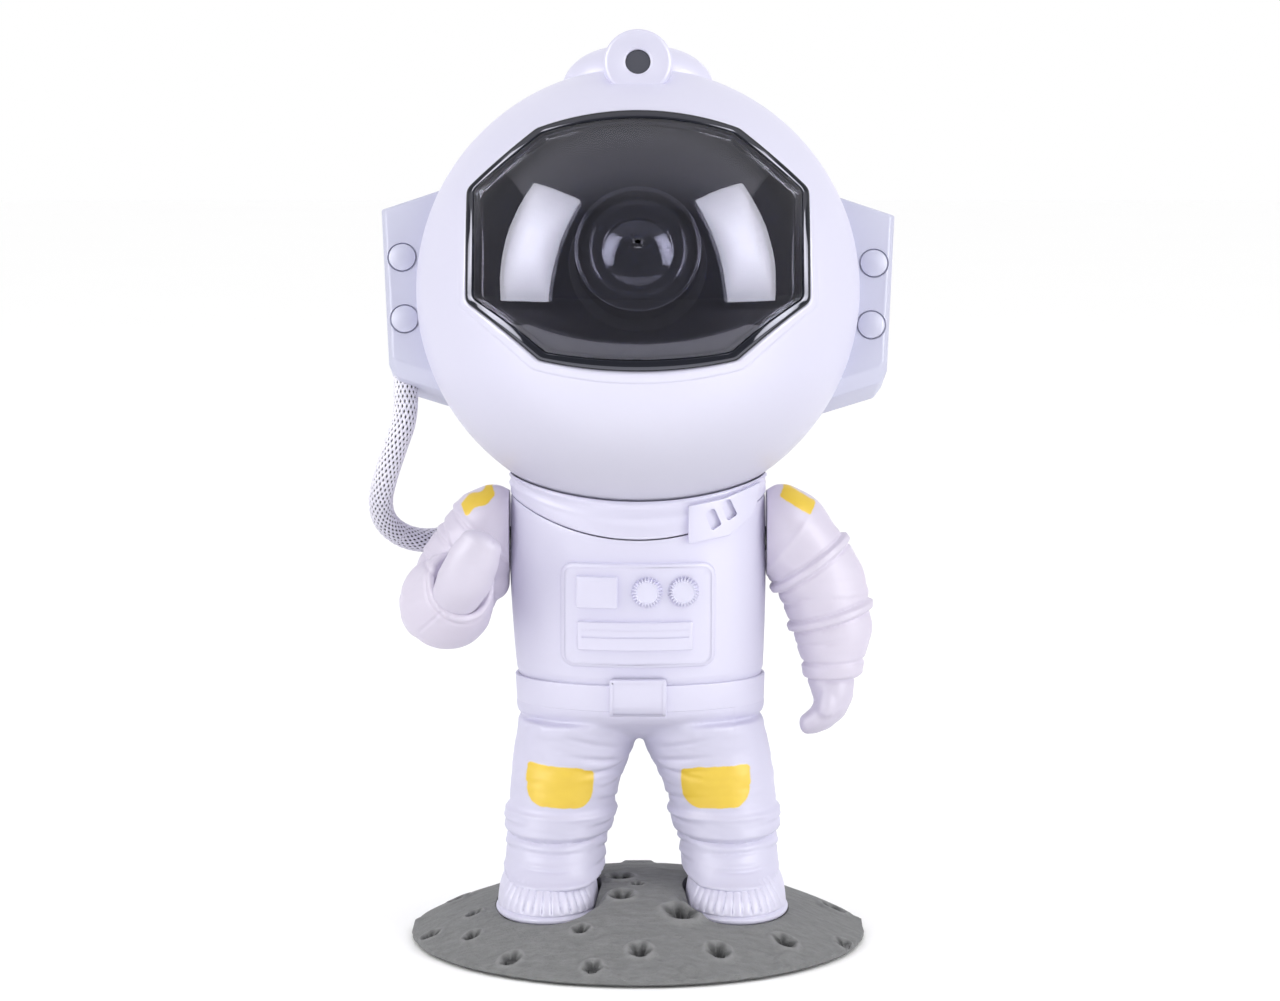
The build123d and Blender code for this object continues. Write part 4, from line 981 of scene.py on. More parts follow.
def torso_relief(point):
    """The overhang above the belt, and the faint drape of the shell."""
    lip_over_belt = 0.35 * ease((point.z - BELT_Z - BELT_H / 2 - 0.6) / 1.2)
    drape = noise.noise(Vector((point.x, point.y, point.z * 0.35)) / 9.0)
    return lip_over_belt - 0.35 + 0.10 * drape


def sliced(bm, place, normal, clear=False):
    """Cut a mesh along a plane; with clear, what lies on the side of the normal is taken off."""
    geom = bm.verts[:] + bm.edges[:] + bm.faces[:]
    bmesh.ops.bisect_plane(bm, geom=geom, plane_co=place, plane_no=normal, clear_outer=clear)
    return bm


def halves(bm, gap):
    """Split a closed body at its parting plane into a front and a rear half."""
    parts = [closed(sliced(bm.copy(), (0, s * gap / 2, 0), (0, -s, 0), True)) for s in (-1, 1)]
    bm.free()
    return parts


def under_head(x, y):
    """Height of the clearance below the ball of the head."""
    return BALL.z - math.sqrt((BALL_R + HEAD_GAP) ** 2 - x * x - y * y)


def torso(finish):
    """The two torso shells, whose rim follows the collar's edge."""
    foot, wall = 0.04, 0.95  # shares of the rows up to the foot's edge, and up to the rim

    def place(u, v):
        angle = math.tau * u
        side = torso_point(angle, CHEST_Z)
        rim = seam_z(side.x) - 0.12
        if v < foot:
            middle = torso_point(angle, HIP_Z)
            return Vector((middle.x * v / foot, middle.y * v / foot, HIP_Z))
        if v > wall:
            inward = (1 - v) / (1 - wall)
            edge = torso_point(angle, rim, -0.15)
            x, y = edge.x * (0.3 + 0.7 * inward), edge.y * (0.3 + 0.7 * inward)
            return Vector((x, y, min(edge.z - 3 * (1 - inward), under_head(x, y) - 0.6)))
        z = HIP_Z + (rim - HIP_Z) * (v - foot) / (wall - foot)
        point = torso_point(angle, z)
        round_off = 0.15 * ease(1 - (rim - z) / 0.5)
        return torso_point(angle, z, torso_relief(point) * ease((rim - z) / 6) - round_off)

    bm = closed(mapped(200, 96, place))
    for half, side in zip(halves(bm, PARTING), ("front", "rear")):
        piece(f"torso_shell_{side}", "figure", half, finish, stands_for=[f"torso_{side}"])


def collar(finish):
    """The soft rolled collar between the torso and the head."""
    steps, inwards = 30, (2.0, 12.0, 12.0)  # rows up the roll, and how far in each row under the head lies

    def place(u, v):
        angle = math.tau * u
        side = torso_point(angle, CHEST_Z)
        bottom = seam_z(side.x) + 0.12
        top = under_head(side.x, side.y) - 0.25
        k = round(v * (steps + len(inwards)))
        if k <= steps:
            share = k / steps
            z = bottom + (top - bottom) * share
            edge = 0.25 * (ease(1 - share / 0.05) + ease(1 - (1 - share) / 0.07))
            folds = 0.42 * ridge(share - 0.93, 0.10) + 0.22 * ridge(share - 0.52, 0.10)
            folds += 0.12 * math.sin(angle * 3 + share * 9) * math.sin(math.pi * share)
            return torso_point(angle, z, 0.15 + folds - edge)
        point = torso_point(angle, top, -inwards[k - steps - 1])
        under = under_head(point.x, point.y) - 0.25
        point.z = min(bottom, under - 1.0) if k == steps + len(inwards) else min(under, point.z)
        return point

    bm = bridged(mapped(200, steps + len(inwards), place))
    piece("collar_roll", "figure", bm, finish, stands_for=["collar_ring"], sharp=50)


def wrapped(bm, lift):
    """Lay a plate, drawn in the XY plane, on the torso's front, with its Z as its height over it."""
    for vert in bm.verts:
        x, z, rise = vert.co
        vert.co = (x, torso_front_y(x, z, lift + rise), z)
    return bm


def diced(bm):
    """Cut a plate into upright and level strips, so that it bends smoothly."""
    strip = 1.6
    xs = [vert.co.x for vert in bm.verts]
    ys = [vert.co.y for vert in bm.verts]
    for normal, first, last in (((1, 0, 0), min(xs), max(xs)), ((0, 1, 0), min(ys), max(ys))):
        count = max(1, round((last - first) / strip))
        for k in range(1, count):
            sliced(bm, Vector(normal) * (first + (last - first) * k / count), normal)
    bmesh.ops.remove_doubles(bm, verts=bm.verts, dist=0.03)
    return bm


def box_outline(x, z, width, height, radius):
    """A rounded rectangle about its middle."""
    w, h = width / 2, height / 2
    corners = [(x - w, z - h), (x + w, z - h), (x + w, z + h), (x - w, z + h)]
    return rounded(corners, radius)


CLASP = [(12.3, 102.5), (22.8, 104.0), (28.8, 108.8), (30.6, 116.4), (21.0, 113.2), (12.3, 111.8)]


def clasp(finish):
    """The collar's clasp plate with two slanted slots through it."""
    plate = slab(rounded(CLASP, [0.4, 3.0, 3.0, 0.5, 6.0, 0.4]), -0.9, 1.25, 0.3)
    slots = []
    for x, z in ((18.1, 105.4), (22.0, 107.5)):
        corners = [(x, z), (x + 2.4, z + 1.5), (x + 0.5, z + 5.7), (x - 1.8, z + 4.5)]
        slots.append(slab(rounded(corners, 0.6), 0.1, 4.0, 0))
    bm = wrapped(diced(cut(plate, *slots)), 0.35)
    piece("clasp_plate", "figure", bm, finish, stands_for=["collar_clasp"], sharp=30)


def belt(finish):
    """The belt band with rounded edges, and the plain square buckle on it."""
    edge = 0.3
    turns = 0.0, 0.5, 1.0, 1.57
    section = [(edge - edge * math.cos(a), BELT_T - edge + edge * math.sin(a)) for a in turns]
    section = [(0.0, -0.2), *section]
    section += [(BELT_H - rise, out) for rise, out in reversed(section)]

    def place(u, v):
        rise, out = at_share(section, v)
        return torso_point(math.tau * u, BELT_Z - BELT_H / 2 + rise, out)

    bm = bridged(mapped(200, len(section) - 1, place))
    piece("belt_band", "figure", bm, finish, stands_for=["belt"])

    plate = slab(box_outline(0, BELT_Z + 0.3, 14.0, 9.9, 0.8), BELT_T, 2.3, 0.45)
    face = [f for f in plate.faces if f.normal.z > 0.9]
    bmesh.ops.inset_region(plate, faces=face, thickness=0.7, depth=-0.12)
    piece("buckle_plate", "figure", wrapped(diced(plate), 0), finish, stands_for=["belt_buckle"], sharp=30)


PANEL_Z, PANEL_W, PANEL_H, PANEL_T = 84.8, 38.0, 25.8, 1.5
PANEL_STEP = 0.18
KNOBS, KNOB_Z, KNOB_R, KNOB_H = (2.2, 11.1), PANEL_Z + 6.0, 3.3, 1.6
TEETH, TOOTH = 26, 0.46  # on a knob's rim, and how far a tooth swings out and in


def chest_panel(finish):
    """The panel with its soft raised rim, its blank block and its grooved bar."""
    plate = slab(box_outline(0, PANEL_Z, PANEL_W, PANEL_H, 3.2), -0.5, PANEL_T, 0.7, 4)
    top = [f for f in plate.faces if f.normal.z > 0.9]
    bmesh.ops.inset_region(plate, faces=top, thickness=0.5, depth=0.0)
    top = max(plate.faces, key=lambda f: f.calc_area() if f.normal.z > 0.9 else 0.0)
    bmesh.ops.inset_region(plate, faces=[top], thickness=0.6, depth=-PANEL_STEP)
    floor_at = PANEL_T - PANEL_STEP
    rise = floor_at + 1.45
    label = slab(box_outline(-10.1, PANEL_Z + 5.9, 10.2, 7.8, 0.5), floor_at - 0.3, rise, 0.35)
    bar = slab(box_outline(-0.7, PANEL_Z - 4.9, 28.4, 7.0, 0.5), floor_at - 0.3, rise, 0.35)
    grooves = []
    for z, wide, deep in ((PANEL_Z - 5.1, 0.5, 0.26), (PANEL_Z - 3.3, 0.35, 0.12)):
        grooves.append(slab(box_outline(-0.7, z, 26.2, wide, 0.1), rise - deep, rise + 2, 0))
    bm = together(diced(plate), diced(label), diced(cut(bar, *grooves)))
    piece("panel_plate", "figure", wrapped(bm, 0), finish, stands_for=["chest_panel"], sharp=28)


def knobs(finish):
    """Two round knobs with serrated rims round a flat, slightly sunk face."""
    def place(x, reach):
        profile = [(0.0, -2.0), (KNOB_R, -2.0), (KNOB_R, 1.0), (KNOB_R - 0.15, 1.35), (KNOB_R - 0.4, KNOB_H)]
        profile += [(KNOB_R - 0.65, KNOB_H - 0.08), (KNOB_R - 0.8, KNOB_H - 0.3), (0.0, KNOB_H - 0.25)]
        bm = turned(profile, TEETH * 4)
        for vert in bm.verts:
            rim = Vector((vert.co.x, vert.co.y))
            if rim.length > KNOB_R - 0.5:
                tooth = 1 + (0.10 + TOOTH * math.cos(TEETH * math.atan2(rim.y, rim.x))) / rim.length
                vert.co.x *= tooth
                vert.co.y *= tooth
        return facing(bm, x, -reach, KNOB_Z)

    made = [place(x, -torso_front_y(x, KNOB_Z, PANEL_T - PANEL_STEP)) for x in KNOBS]
    piece("panel_knob_pair", "figure", together(*made), finish, stands_for=["panel_knobs"], sharp=30)


PACK_W, PACK_H, PACK_Z = 46.0, 44.0, 88.0
PACK_BACK = high("backpack").y


def backpack(finish):
    """The rounded pack with a raised back plate, four vent slots and a groove in each side."""
    def ring(y, inset, corner):
        outline = box_outline(0, PACK_Z, PACK_W - 2 * inset, PACK_H - 2 * inset, corner)
        return [(point[0], y, point[1]) for point in outline]

    turn = [math.radians(15 * k) for k in range(7)]
    soft = 5.0
    levels = [ring(14.0, 0.0, 6.0)]
    levels += [ring(PACK_BACK - soft + soft * math.sin(a), soft * (1 - math.cos(a)), 6.2) for a in turn]
    bm = stacked(levels)
    plate = slab(box_outline(0, -PACK_Z - 6, 28, 18, 2.0), 0, 1.0, 0.35)
    vents = [block(0, PACK_BACK, PACK_Z - 12 + 3.2 * k, 22, 1.6, 1.2) for k in range(4)]
    grooves = [block(s * (PACK_W / 2), 24, PACK_Z - 8, 1.0, 16, 1.0) for s in (-1, 1)]
    bm = cut(bm, *vents, *grooves)
    moved(plate, Matrix.Translation((0, PACK_BACK - 0.5, 0)) @ TO_BACK)
    piece("pack_shell", "figure", together(bm, plate), finish, stands_for=["backpack"], sharp=30)


# Trousers and boots -----------------------------------------------------------------------------
def relaxed(bm, verts, times):
    """Smooth out the bumps among these vertices."""
    for _ in range(times):
        bmesh.ops.smooth_vert(bm, verts=verts, factor=0.5, use_axis_x=True, use_axis_y=True, use_axis_z=True)
    return bm


def fused(parts, voxel, smooth):
    """Closed shapes grown together into one soft skin."""
    for part in parts:
        bmesh.ops.recalc_face_normals(part, faces=part.faces)
    blank = as_object(together(*parts))
    skin = blank.modifiers.new("skin", "REMESH")
    skin.mode, skin.voxel_size = "VOXEL", voxel
    bm = baked(blank)
    return relaxed(bm, bm.verts, smooth)


def displaced(bm, relief):
    """Move every vertex along its normal by relief(place, normal)."""
    bm.normal_update()
    shifts = [(vert, vert.normal * relief(vert.co, vert.normal)) for vert in bm.verts]
    for vert, shift in shifts:
        vert.co += shift
    return bm


LEGS = {  # height, middle x, middle y, half width, half depth
    -1: [
        (10.0, -22.4, -8.6, 13.2, 19.8),
        (16.0, -21.6, -6.8, 12.8, 18.4),
        (20.0, -20.8, -4.2, 12.5, 16.4),
        (26.0, -20.4, -2.4, 12.7, 15.0),
        (34.0, -19.2, -1.2, 13.2, 15.2),
        (42.0, -17.8, -0.6, 14.0, 15.9),
        (49.0, -16.0, 0.0, 15.0, 17.0),
        (57.0, -14.6, 0.0, 15.1, 19.2),
    ],
    1: [
        (10.0, 24.4, -8.6, 11.8, 19.8),
        (16.0, 23.9, -6.8, 11.9, 18.4),
        (20.0, 23.0, -4.2, 12.2, 16.4),
        (26.0, 22.6, -2.4, 12.4, 15.0),
        (34.0, 21.5, -1.2, 13.3, 15.2),
        (42.0, 19.6, -0.6, 14.5, 15.9),
        (49.0, 17.3, 0.0, 15.6, 17.0),
        (57.0, 15.6, 0.0, 15.5, 19.2),
    ],
}
WAIST = [
    (50.8, 0.4, 0.0, 1.5, 3.0),
    (51.5, 0.4, 0.0, 4.5, 6.5),
    (52.8, 0.4, 0.0, 9.0, 10.0),
    (55.0, 0.4, 0.0, 18.0, 14.5),
    (57.2, 0.5, 0.0, 29.6, 19.4),
    (59.0, 0.6, 0.0, 31.0, 21.2),
    (60.4, 0.6, 0.0, 31.1, 21.6),
    (61.9, 0.6, 0.0, 30.9, 21.6),
]
BOOT_X = {s: LEGS[s][0][1] for s in LEGS}
BOOT_Y, BOOT_TOP, SOLE_Z, SOLE_H = -9.0, 19.6, 8.6, 1.7
KNEE_TOP_Z, KNEE_LOW_Z = 33.4, 27.9


def around(point, s):
    """Angle about a leg's middle line, 0 in front and positive towards the outside."""
    x, y, half_width, half_depth = along(LEGS[s], point.z)
    return math.atan2(s * (point.x - x) / half_width, -(point.y - y) / half_depth)


def hem_z(angle):
    """The trouser hem hangs low over the instep and rises at the sides and the heel."""
    return 18.6 - 2.6 * ease((math.cos(angle) - 0.1) / 0.75)


def trouser_leg(s):
    """A closed leg from its hem up to the hips."""
    def place(u, v):
        angle = math.tau * u
        bottom = hem_z(angle)
        inside = max(0.0, 1 - v / 0.05)
        z = bottom + (LEGS[s][-1][0] - bottom) * max(0.0, (v - 0.05) / 0.95) + inside
        x, y, half_width, half_depth = along(LEGS[s], z)
        full = (1 - inside) * 0.99 + 0.01 if v < 0.999 else 0.3
        across, ahead = half_width * full * math.sin(angle), half_depth * full * math.cos(angle)
        return Vector((x + s * across, y - ahead, z))

    return closed(mapped(96, 60, place))


def crease(point, angle, middle, z, reach, depth, width, sag=0.0, tilt=0.0):
    """A fold across a leg, about an angle from the front, fading towards its two ends."""
    away = (angle - middle) / reach
    if abs(away) > 1:
        return 0.0
    line = z - sag * (1 - away * away) + tilt * away
    height = point.z - line
    fade = (1 - away * away) ** 2
    return fade * depth * (0.55 * ridge(height - 1.6 * width, 1.3 * width) - ridge(height, width))


FOLDS = [  # side, angle, height, reach, depth, width, sag, tilt
    (-1, 0.1, 24.6, 0.9, 0.50, 0.50, 0.5, 0.3), (-1, 0.2, 21.0, 0.8, 0.45, 0.45, 0.6, 0.2),
    (-1, -1.2, 31.0, 0.8, 0.60, 0.60, 0.3, -0.8), (-1, -1.5, 24.0, 0.8, 0.60, 0.55, 0.0, 0.8),
    (-1, -1.4, 20.8, 0.7, 0.55, 0.50, 0.0, -0.5), (-1, -1.3, 36.6, 0.9, 0.45, 0.60, 0.4, 1.0),
    (-1, -0.9, 45.5, 0.9, 0.50, 0.70, 0.8, -2.4), (-1, -1.2, 41.0, 0.7, 0.35, 0.60, 0.3, -1.4),
    (-1, 1.3, 30.5, 0.8, 0.50, 0.60, 0.3, 0.4), (-1, 1.4, 24.4, 0.9, 0.40, 0.50, 0.2, -0.3),
    (1, 0.1, 24.8, 0.9, 0.50, 0.50, 0.5, 0.3), (1, 0.2, 21.0, 0.9, 0.45, 0.45, 0.7, 0.1),
    (1, -1.2, 32.0, 0.8, 0.60, 0.60, 0.3, -0.8), (1, -1.5, 25.2, 0.8, 0.60, 0.55, 0.0, 0.8),
    (1, -1.4, 21.8, 0.7, 0.55, 0.50, 0.0, -0.5), (1, -1.2, 37.2, 0.9, 0.45, 0.60, 0.4, 1.0),
    (1, -0.9, 45.0, 0.9, 0.50, 0.70, 0.8, -2.4), (1, -1.3, 41.0, 0.7, 0.40, 0.60, 0.3, -1.4),
    (1, 1.3, 31.0, 0.8, 0.50, 0.60, 0.3, 0.4), (1, 1.4, 24.4, 0.9, 0.45, 0.50, 0.2, -0.3),
]


def trouser_relief(point, _):
    """Folds, the rolled bands under the knees, the hems and the creases at the groin."""
    s = -1 if point.x < 0 else 1
    angle = around(point, s)
    out = sum(crease(point, angle, *fold[1:]) for fold in FOLDS if fold[0] == s)
    sag = 1.1 * math.cos(angle)
    top, bottom = KNEE_TOP_Z - 0.6 * sag, KNEE_LOW_Z - sag
    band = ease((point.z - bottom) / 0.9) * ease((top + 1.6 - point.z) / 2.2)
    out += 0.85 * band + 0.30 * ridge(point.z - top, 0.55) - 0.55 * ridge(point.z - bottom + 0.2, 0.45)
    hem = hem_z(angle)
    out += 0.30 * ridge(point.z - hem - 0.7, 0.7) * ease(math.cos(angle) + 0.6)
    fade = ease((62 - point.z) / 6)
    wave = noise.noise(Vector((point.x, point.y, point.z * 2.1)) / 7.5)
    fine = noise.noise(Vector((point.x, point.y, point.z * 2.6)) / 3.2)
    groin = 0.0
    if point.y < 0 and abs(point.x) < 26:
        for height, slope, depth in ((46.5, 0.16, 0.5), (50.0, 0.24, 0.3), (43.6, 0.10, 0.35)):
            line = height + slope * max(abs(point.x) - 5, 0)
            reach = ease((abs(point.x) - 3) / 4) * ease((20 - abs(point.x)) / 10)
            groin += depth * reach * (0.5 * ridge(point.z - line - 1.4, 1.0) - ridge(point.z - line, 0.6))
    return out + groin + fade * (0.22 * wave + 0.08 * fine)


def trousers(finish):
    """Hips and both legs as one moulding with folds, a rolled band under each knee and hems."""
    waist = sleeve(WAIST, 96, 40)
    bm = fused([waist, trouser_leg(-1), trouser_leg(1)], 0.5, 4)
    groin = [vert for vert in bm.verts if vert.co.z > 47 and abs(vert.co.x) < 24]
    bm = displaced(relaxed(bm, groin, 14), trouser_relief)
    piece("trousers", "figure", bm, finish, stands_for=["left_leg", "right_leg"], sharp=70)


def boot(s, side, finish):
    """A boot with a ribbed instep and a sole band, whose shaft goes up into the trouser leg."""
    base = [
        (SOLE_Z, 0, BOOT_Y, 12.2, 18.9), (SOLE_Z + 0.7, 0, BOOT_Y, 12.8, 19.6),
        (SOLE_Z + 2.0, 0, BOOT_Y, 12.7, 19.5), (13.5, 0, -8.6, 12.4, 18.8), (16.0, 0, -7.6, 11.9, 17.4),
        (18.0, 0, -6.6, 11.0, 15.6), (BOOT_TOP, 0, -6.0, 9.6, 13.6),
    ]

    rib = 0.188  # angle from one rib of the instep to the next

    def relief(point):
        rise = point.z - SOLE_Z
        angle = math.atan2(point.x / 12.6, -(point.y + 8.5) / 19.0)
        out = 0.30 * ease((SOLE_H - rise) / 0.35) - 0.45 * ridge(rise - SOLE_H - 0.2, 0.26)
        band = ease((rise - SOLE_H - 0.5) / 0.9)
        front = ease((1.25 - abs(angle)) / 0.35)
        spread = 1 - 0.02 * (point.z - 12)
        turn = (angle / spread) / rib
        groove = 1 - abs(turn - round(turn)) * 2
        return out + band * front * (0.72 * math.sqrt(max(0.0, 1 - (1 - groove) ** 3)) - 0.62)

    bm = moved(sleeve(base, 440, 64, relief), Matrix.Translation((BOOT_X[s], 0, 0)))
    piece(f"{side}_boot_shell", "figure", bm, finish, stands_for=[f"{side}_boot"], sharp=60)


# Moon base --------------------------------------------------------------------------------------
BASE_R = (high("moon_base").x - low("moon_base").x) / 2
BASE_LOW, BASE_TOP = low("moon_base").z, high("moon_base").z
EDGE_Z = BASE_TOP - 14.1
BASE_DOME_R = (BASE_R**2 + (BASE_TOP - EDGE_Z) ** 2) / (2 * (BASE_TOP - EDGE_Z))
CRATERS = [  # middle, radius of the raised ring, depth
    (10.6, -28.4, 4.9, 2.0), (-4.0, -19.0, 3.6, 1.5), (-13.9, -36.0, 2.5, 1.2), (-30.7, -43.0, 3.0, 1.4),
    (-40.8, -26.3, 2.6, 1.2), (-41.0, -12.4, 2.4, 1.0), (-51.6, -16.5, 2.9, 1.0), (0.5, -46.2, 3.2, 1.5),
    (-10.9, -51.6, 2.8, 1.3), (19.4, -44.0, 3.4, 1.5), (35.9, -32.7, 3.4, 1.4), (51.2, -22.5, 2.8, 1.1),
    (-4.5, -4.4, 3.8, 1.4), (-0.2, -10.4, 2.0, 0.9), (50.0, 6.0, 3.6, 1.2), (-46.0, 12.0, 3.2, 1.1),
    (-30.0, 38.0, 4.6, 1.6), (3.0, 45.0, 3.8, 1.3), (31.0, 36.0, 4.2, 1.4), (0.0, 28.0, 3.2, 1.1),
    (12.9, -53.4, 2.4, 0.35), (38.5, -43.0, 4.4, 0.30),
]
PIT_WIDE, PIT_DEEP = 12.95 + 0.35, 19.75 + 0.35  # half sizes of a boot's pit, with its gap
TREAD_Z = 8.9  # level of the ground beside the toes
HOLLOW_Z = 3.2  # how far up the hollow of the underside goes


def boot_distance(x, y):
    """Roughly how far a place on the base lies outside the nearer boot's sole."""
    beside = [math.hypot((x - middle) / 12.9, (y - BOOT_Y) / 19.7) for middle in BOOT_X.values()]
    return (min(beside) - 1) * 15.0


def crater_shade_and_highlight(x, y):
    """How deep in a crater a place lies, and how near a crater's raised ring, from 0 to 1."""
    # the colour paints shade into the pits and a highlight onto the rings from these shares
    pit, ring = 0.0, 0.0
    for cx, cy, r, depth in CRATERS:
        away = math.hypot(x - cx, y - cy) / r
        if away < 2 and depth > 0.5:
            crinkle = 1 + 0.22 * math.cos(5 * math.atan2(y - cy, x - cx) + cx)
            pit = max(pit, ease(1.3 - away / (0.82 * crinkle)))
            ring = max(ring, ridge(away - 1.02, 0.20))
    return pit, ring


def rim_wave(x, y, size, shift):
    """An uneven wave that runs round the base's rim."""
    return noise.noise(Vector((x, y, 0)).normalized() * size + Vector((0, 0, shift)))


def ground_z(x, y):
    """Height of the cratered dome, which never cuts into the hollow below it."""
    z = BASE_TOP - BASE_DOME_R + math.sqrt(BASE_DOME_R**2 - x * x - y * y)
    beside = boot_distance(x, y)
    z += (TREAD_Z - z) * ease((4.0 - beside) / 4.5) * ease((-14.0 - y) / 8.0)
    for cx, cy, r, depth in CRATERS:
        away = math.hypot(x - cx, y - cy) / r
        if away > 2:
            continue
        angle = math.atan2(y - cy, x - cx)
        crinkle = 1 + 0.26 * math.cos(7 * angle + cx) + 0.16 * math.cos(11 * angle - cy)
        cone = max(0.0, 1 - away / (0.66 * crinkle)) ** 0.85
        bowl = ease(1 - away)
        z += 0.20 * r * ridge(away - 1.0, 0.26) - depth * (2.0 * cone + 0.30 * bowl)
    spot = Vector((x * 0.5, y, 3.0))
    lumps = 0.20 * noise.noise(spot / 6.0) + 0.10 * noise.noise(spot / 2.0)
    out = math.hypot(x, y)
    if out > BASE_R - 6:
        chips = max(0.0, rim_wave(x, y, 6.0, 0.0) + 0.4 * rim_wave(x, y, 17.0, 3.0))
        z += 1.3 * chips * ease((out - BASE_R + 6) / 5)
    hollow_roof = HOLLOW_Z + 0.2 - 2.0 * ease((out - BASE_R + 4.6) / 0.6)
    return max(z + lumps * ease((BASE_R - out) / 4.0), hollow_roof)


def moon_base(finish):
    """The cratered dome with pits for both boots, a slightly uneven rim and a hollow underside."""
    def disc(u, v):
        a, b = 2 * u - 1, 2 * v - 1
        if a == 0 and b == 0:
            return 0.0, 0.0
        if abs(a) > abs(b):
            r, turn = a, (math.pi / 4) * (b / a)
        else:
            r, turn = b, math.pi / 2 - (math.pi / 4) * (a / b)
        return r * math.cos(turn), r * math.sin(turn)

    def uneven(x, y):
        return 0.30 * rim_wave(x, y, 5.0, 0.0) + 0.22 * rim_wave(x, y, 14.0, 4.0) if x or y else 0.0

    def place(u, v):
        x, y = disc(u, v)
        reach = BASE_R - 0.35
        reach += uneven(x, y) * math.hypot(x, y) ** 6 - 0.25
        x, y = x * reach, y * reach
        return Vector((x, y, ground_z(x, y)))

    bm = mapped(290, 290, place)
    rim = open_edges(bm)
    down = [(-0.25, EDGE_Z - 0.35), (-0.1, BASE_LOW + 0.3), (0.3, BASE_LOW)]
    for inward, z in (*down, (4.1, BASE_LOW), (4.2, HOLLOW_Z)):
        made = bmesh.ops.extrude_edge_only(bm, edges=rim)["geom"]
        rim = of_type(bmesh.types.BMEdge, made)
        for vert in of_type(bmesh.types.BMVert, made):
            wave = uneven(vert.co.x, vert.co.y)
            flat = Vector((vert.co.x, vert.co.y)).normalized() * (BASE_R - 0.62 - inward + wave)
            vert.co = (flat.x, flat.y, z)
    closed(bm)
    pits = []
    turns = [math.tau * k / 120 for k in range(120)]
    for x in BOOT_X.values():
        outline = [(x + PIT_WIDE * math.cos(a), BOOT_Y + PIT_DEEP * math.sin(a)) for a in turns]
        pits.append(slab(outline, SOLE_Z - 0.3, 30.0, 0))
    bm = cut(bm, *pits)
    # a UV map that carries the painted crater shade and highlight into the colour
    uv = bm.loops.layers.uv.new("painted_crater_light")
    for face in bm.faces:
        for loop in face.loops:
            spot = loop.vert.co
            loop[uv].uv = crater_shade_and_highlight(spot.x, spot.y) if spot.z > 2.0 and face.normal.z > 0 else (0.0, 0.0)
    piece("moon_dome", "base", bm, finish, stands_for=["moon_base"], sharp=40)


def moon_dust():
    """Matt grey with fine streaks, painted shade in the pits and painted highlight on the raised rings."""
    finish = Finish("moon grey", Specular_IOR_Level=0.15)
    streaks = finish.grain(260.0, 5.0, 0.6, (1.0, 2.2, 2.2))
    cloud = finish.grain(55.0, 3.0)
    tone = finish.mix(streaks, (0.085, 0.087, 0.088), (0.265, 0.268, 0.272))
    tone = finish.mix(cloud.above(0.5, 0.9) * 0.5, tone, (0.175, 0.178, 0.182))
    pit, ring = finish.chart("painted_crater_light")
    # painted highlight: the craters' raised rings are lightened
    tone = finish.mix(ring * 0.28, tone, (0.36, 0.36, 0.365))
    # painted shade: the pits are darkened nearly to black
    finish.colour(finish.mix(pit * 0.95, tone, (0.012, 0.012, 0.014)))
    finish.feed("Roughness", 0.62 + streaks * 0.2)
    finish.relief(streaks + finish.grain(900.0, 3.0) * 0.35, 0.8)
    return finish.material


# Arms -------------------------------------------------------------------------------------------
ACROSS = Vector((1, 0, 0))


def tube(points, columns, rows, round_ends):
    """A closed body around a smooth path of (place, radius across, radius in depth)."""
    spots = [Vector(point[0]) for point in points]
    last = len(points) - 1

    def smooth(share):
        at = share * last
        k = min(int(at), last - 1)
        t = at - k
        a, b = spots[k], spots[k + 1]
        before, after = spots[max(k - 1, 0)], spots[min(k + 2, last)]
        soft = ease(t)
        sizes = [points[k][i] * (1 - soft) + points[k + 1][i] * soft for i in (1, 2)]
        return between(a, b, (b - before) / 2, (after - a) / 2, t), sizes

    def place(u, v):
        end = min(v, 1 - v) / round_ends
        full = math.sqrt(max(0.0, 1 - (1 - min(end, 1.0)) ** 2))
        here, (wide, deep) = smooth(v)
        ahead, behind = smooth(min(v + 0.01, 1.0))[0], smooth(max(v - 0.01, 0.0))[0]
        path = (ahead - behind).normalized()
        side = (ACROSS - path * ACROSS.dot(path)).normalized()
        front = path.cross(side)
        angle = math.tau * u
        return here + (side * (wide * full * math.cos(angle)) + front * (deep * full * math.sin(angle)))

    return mapped(columns, rows, place)


UPPER_ARM = [  # height, middle x, middle y, half width, half depth
    (87.0, 46.3, -0.6, 11.3, 11.8), (97.0, 42.0, 0.0, 12.3, 12.4), (107.0, 38.2, 0.0, 9.3, 11.4),
    (111.5, 36.9, 0.0, 6.9, 8.4), (114.4, 36.3, 0.0, 2.0, 3.0),
]
LEFT_LOWER = [
    (66.5, 48.7, -2.7, 6.9, 8.0), (70.0, 48.7, -2.4, 7.4, 8.7), (72.0, 48.6, -2.2, 8.2, 9.4),
    (78.5, 48.4, -1.2, 9.8, 10.9), (87.0, 46.3, -0.6, 11.3, 11.8),
]
ARM_FACE_X = 32.1
LEFT_BANDS = [  # flat piping: the two ends of its line seen from the front, height, half width
    ((32.4, 87.4), (52.7, 101.8), 1.05, 1.0), ((37.1, 78.6), (58.4, 84.9), 1.05, 1.0),
]

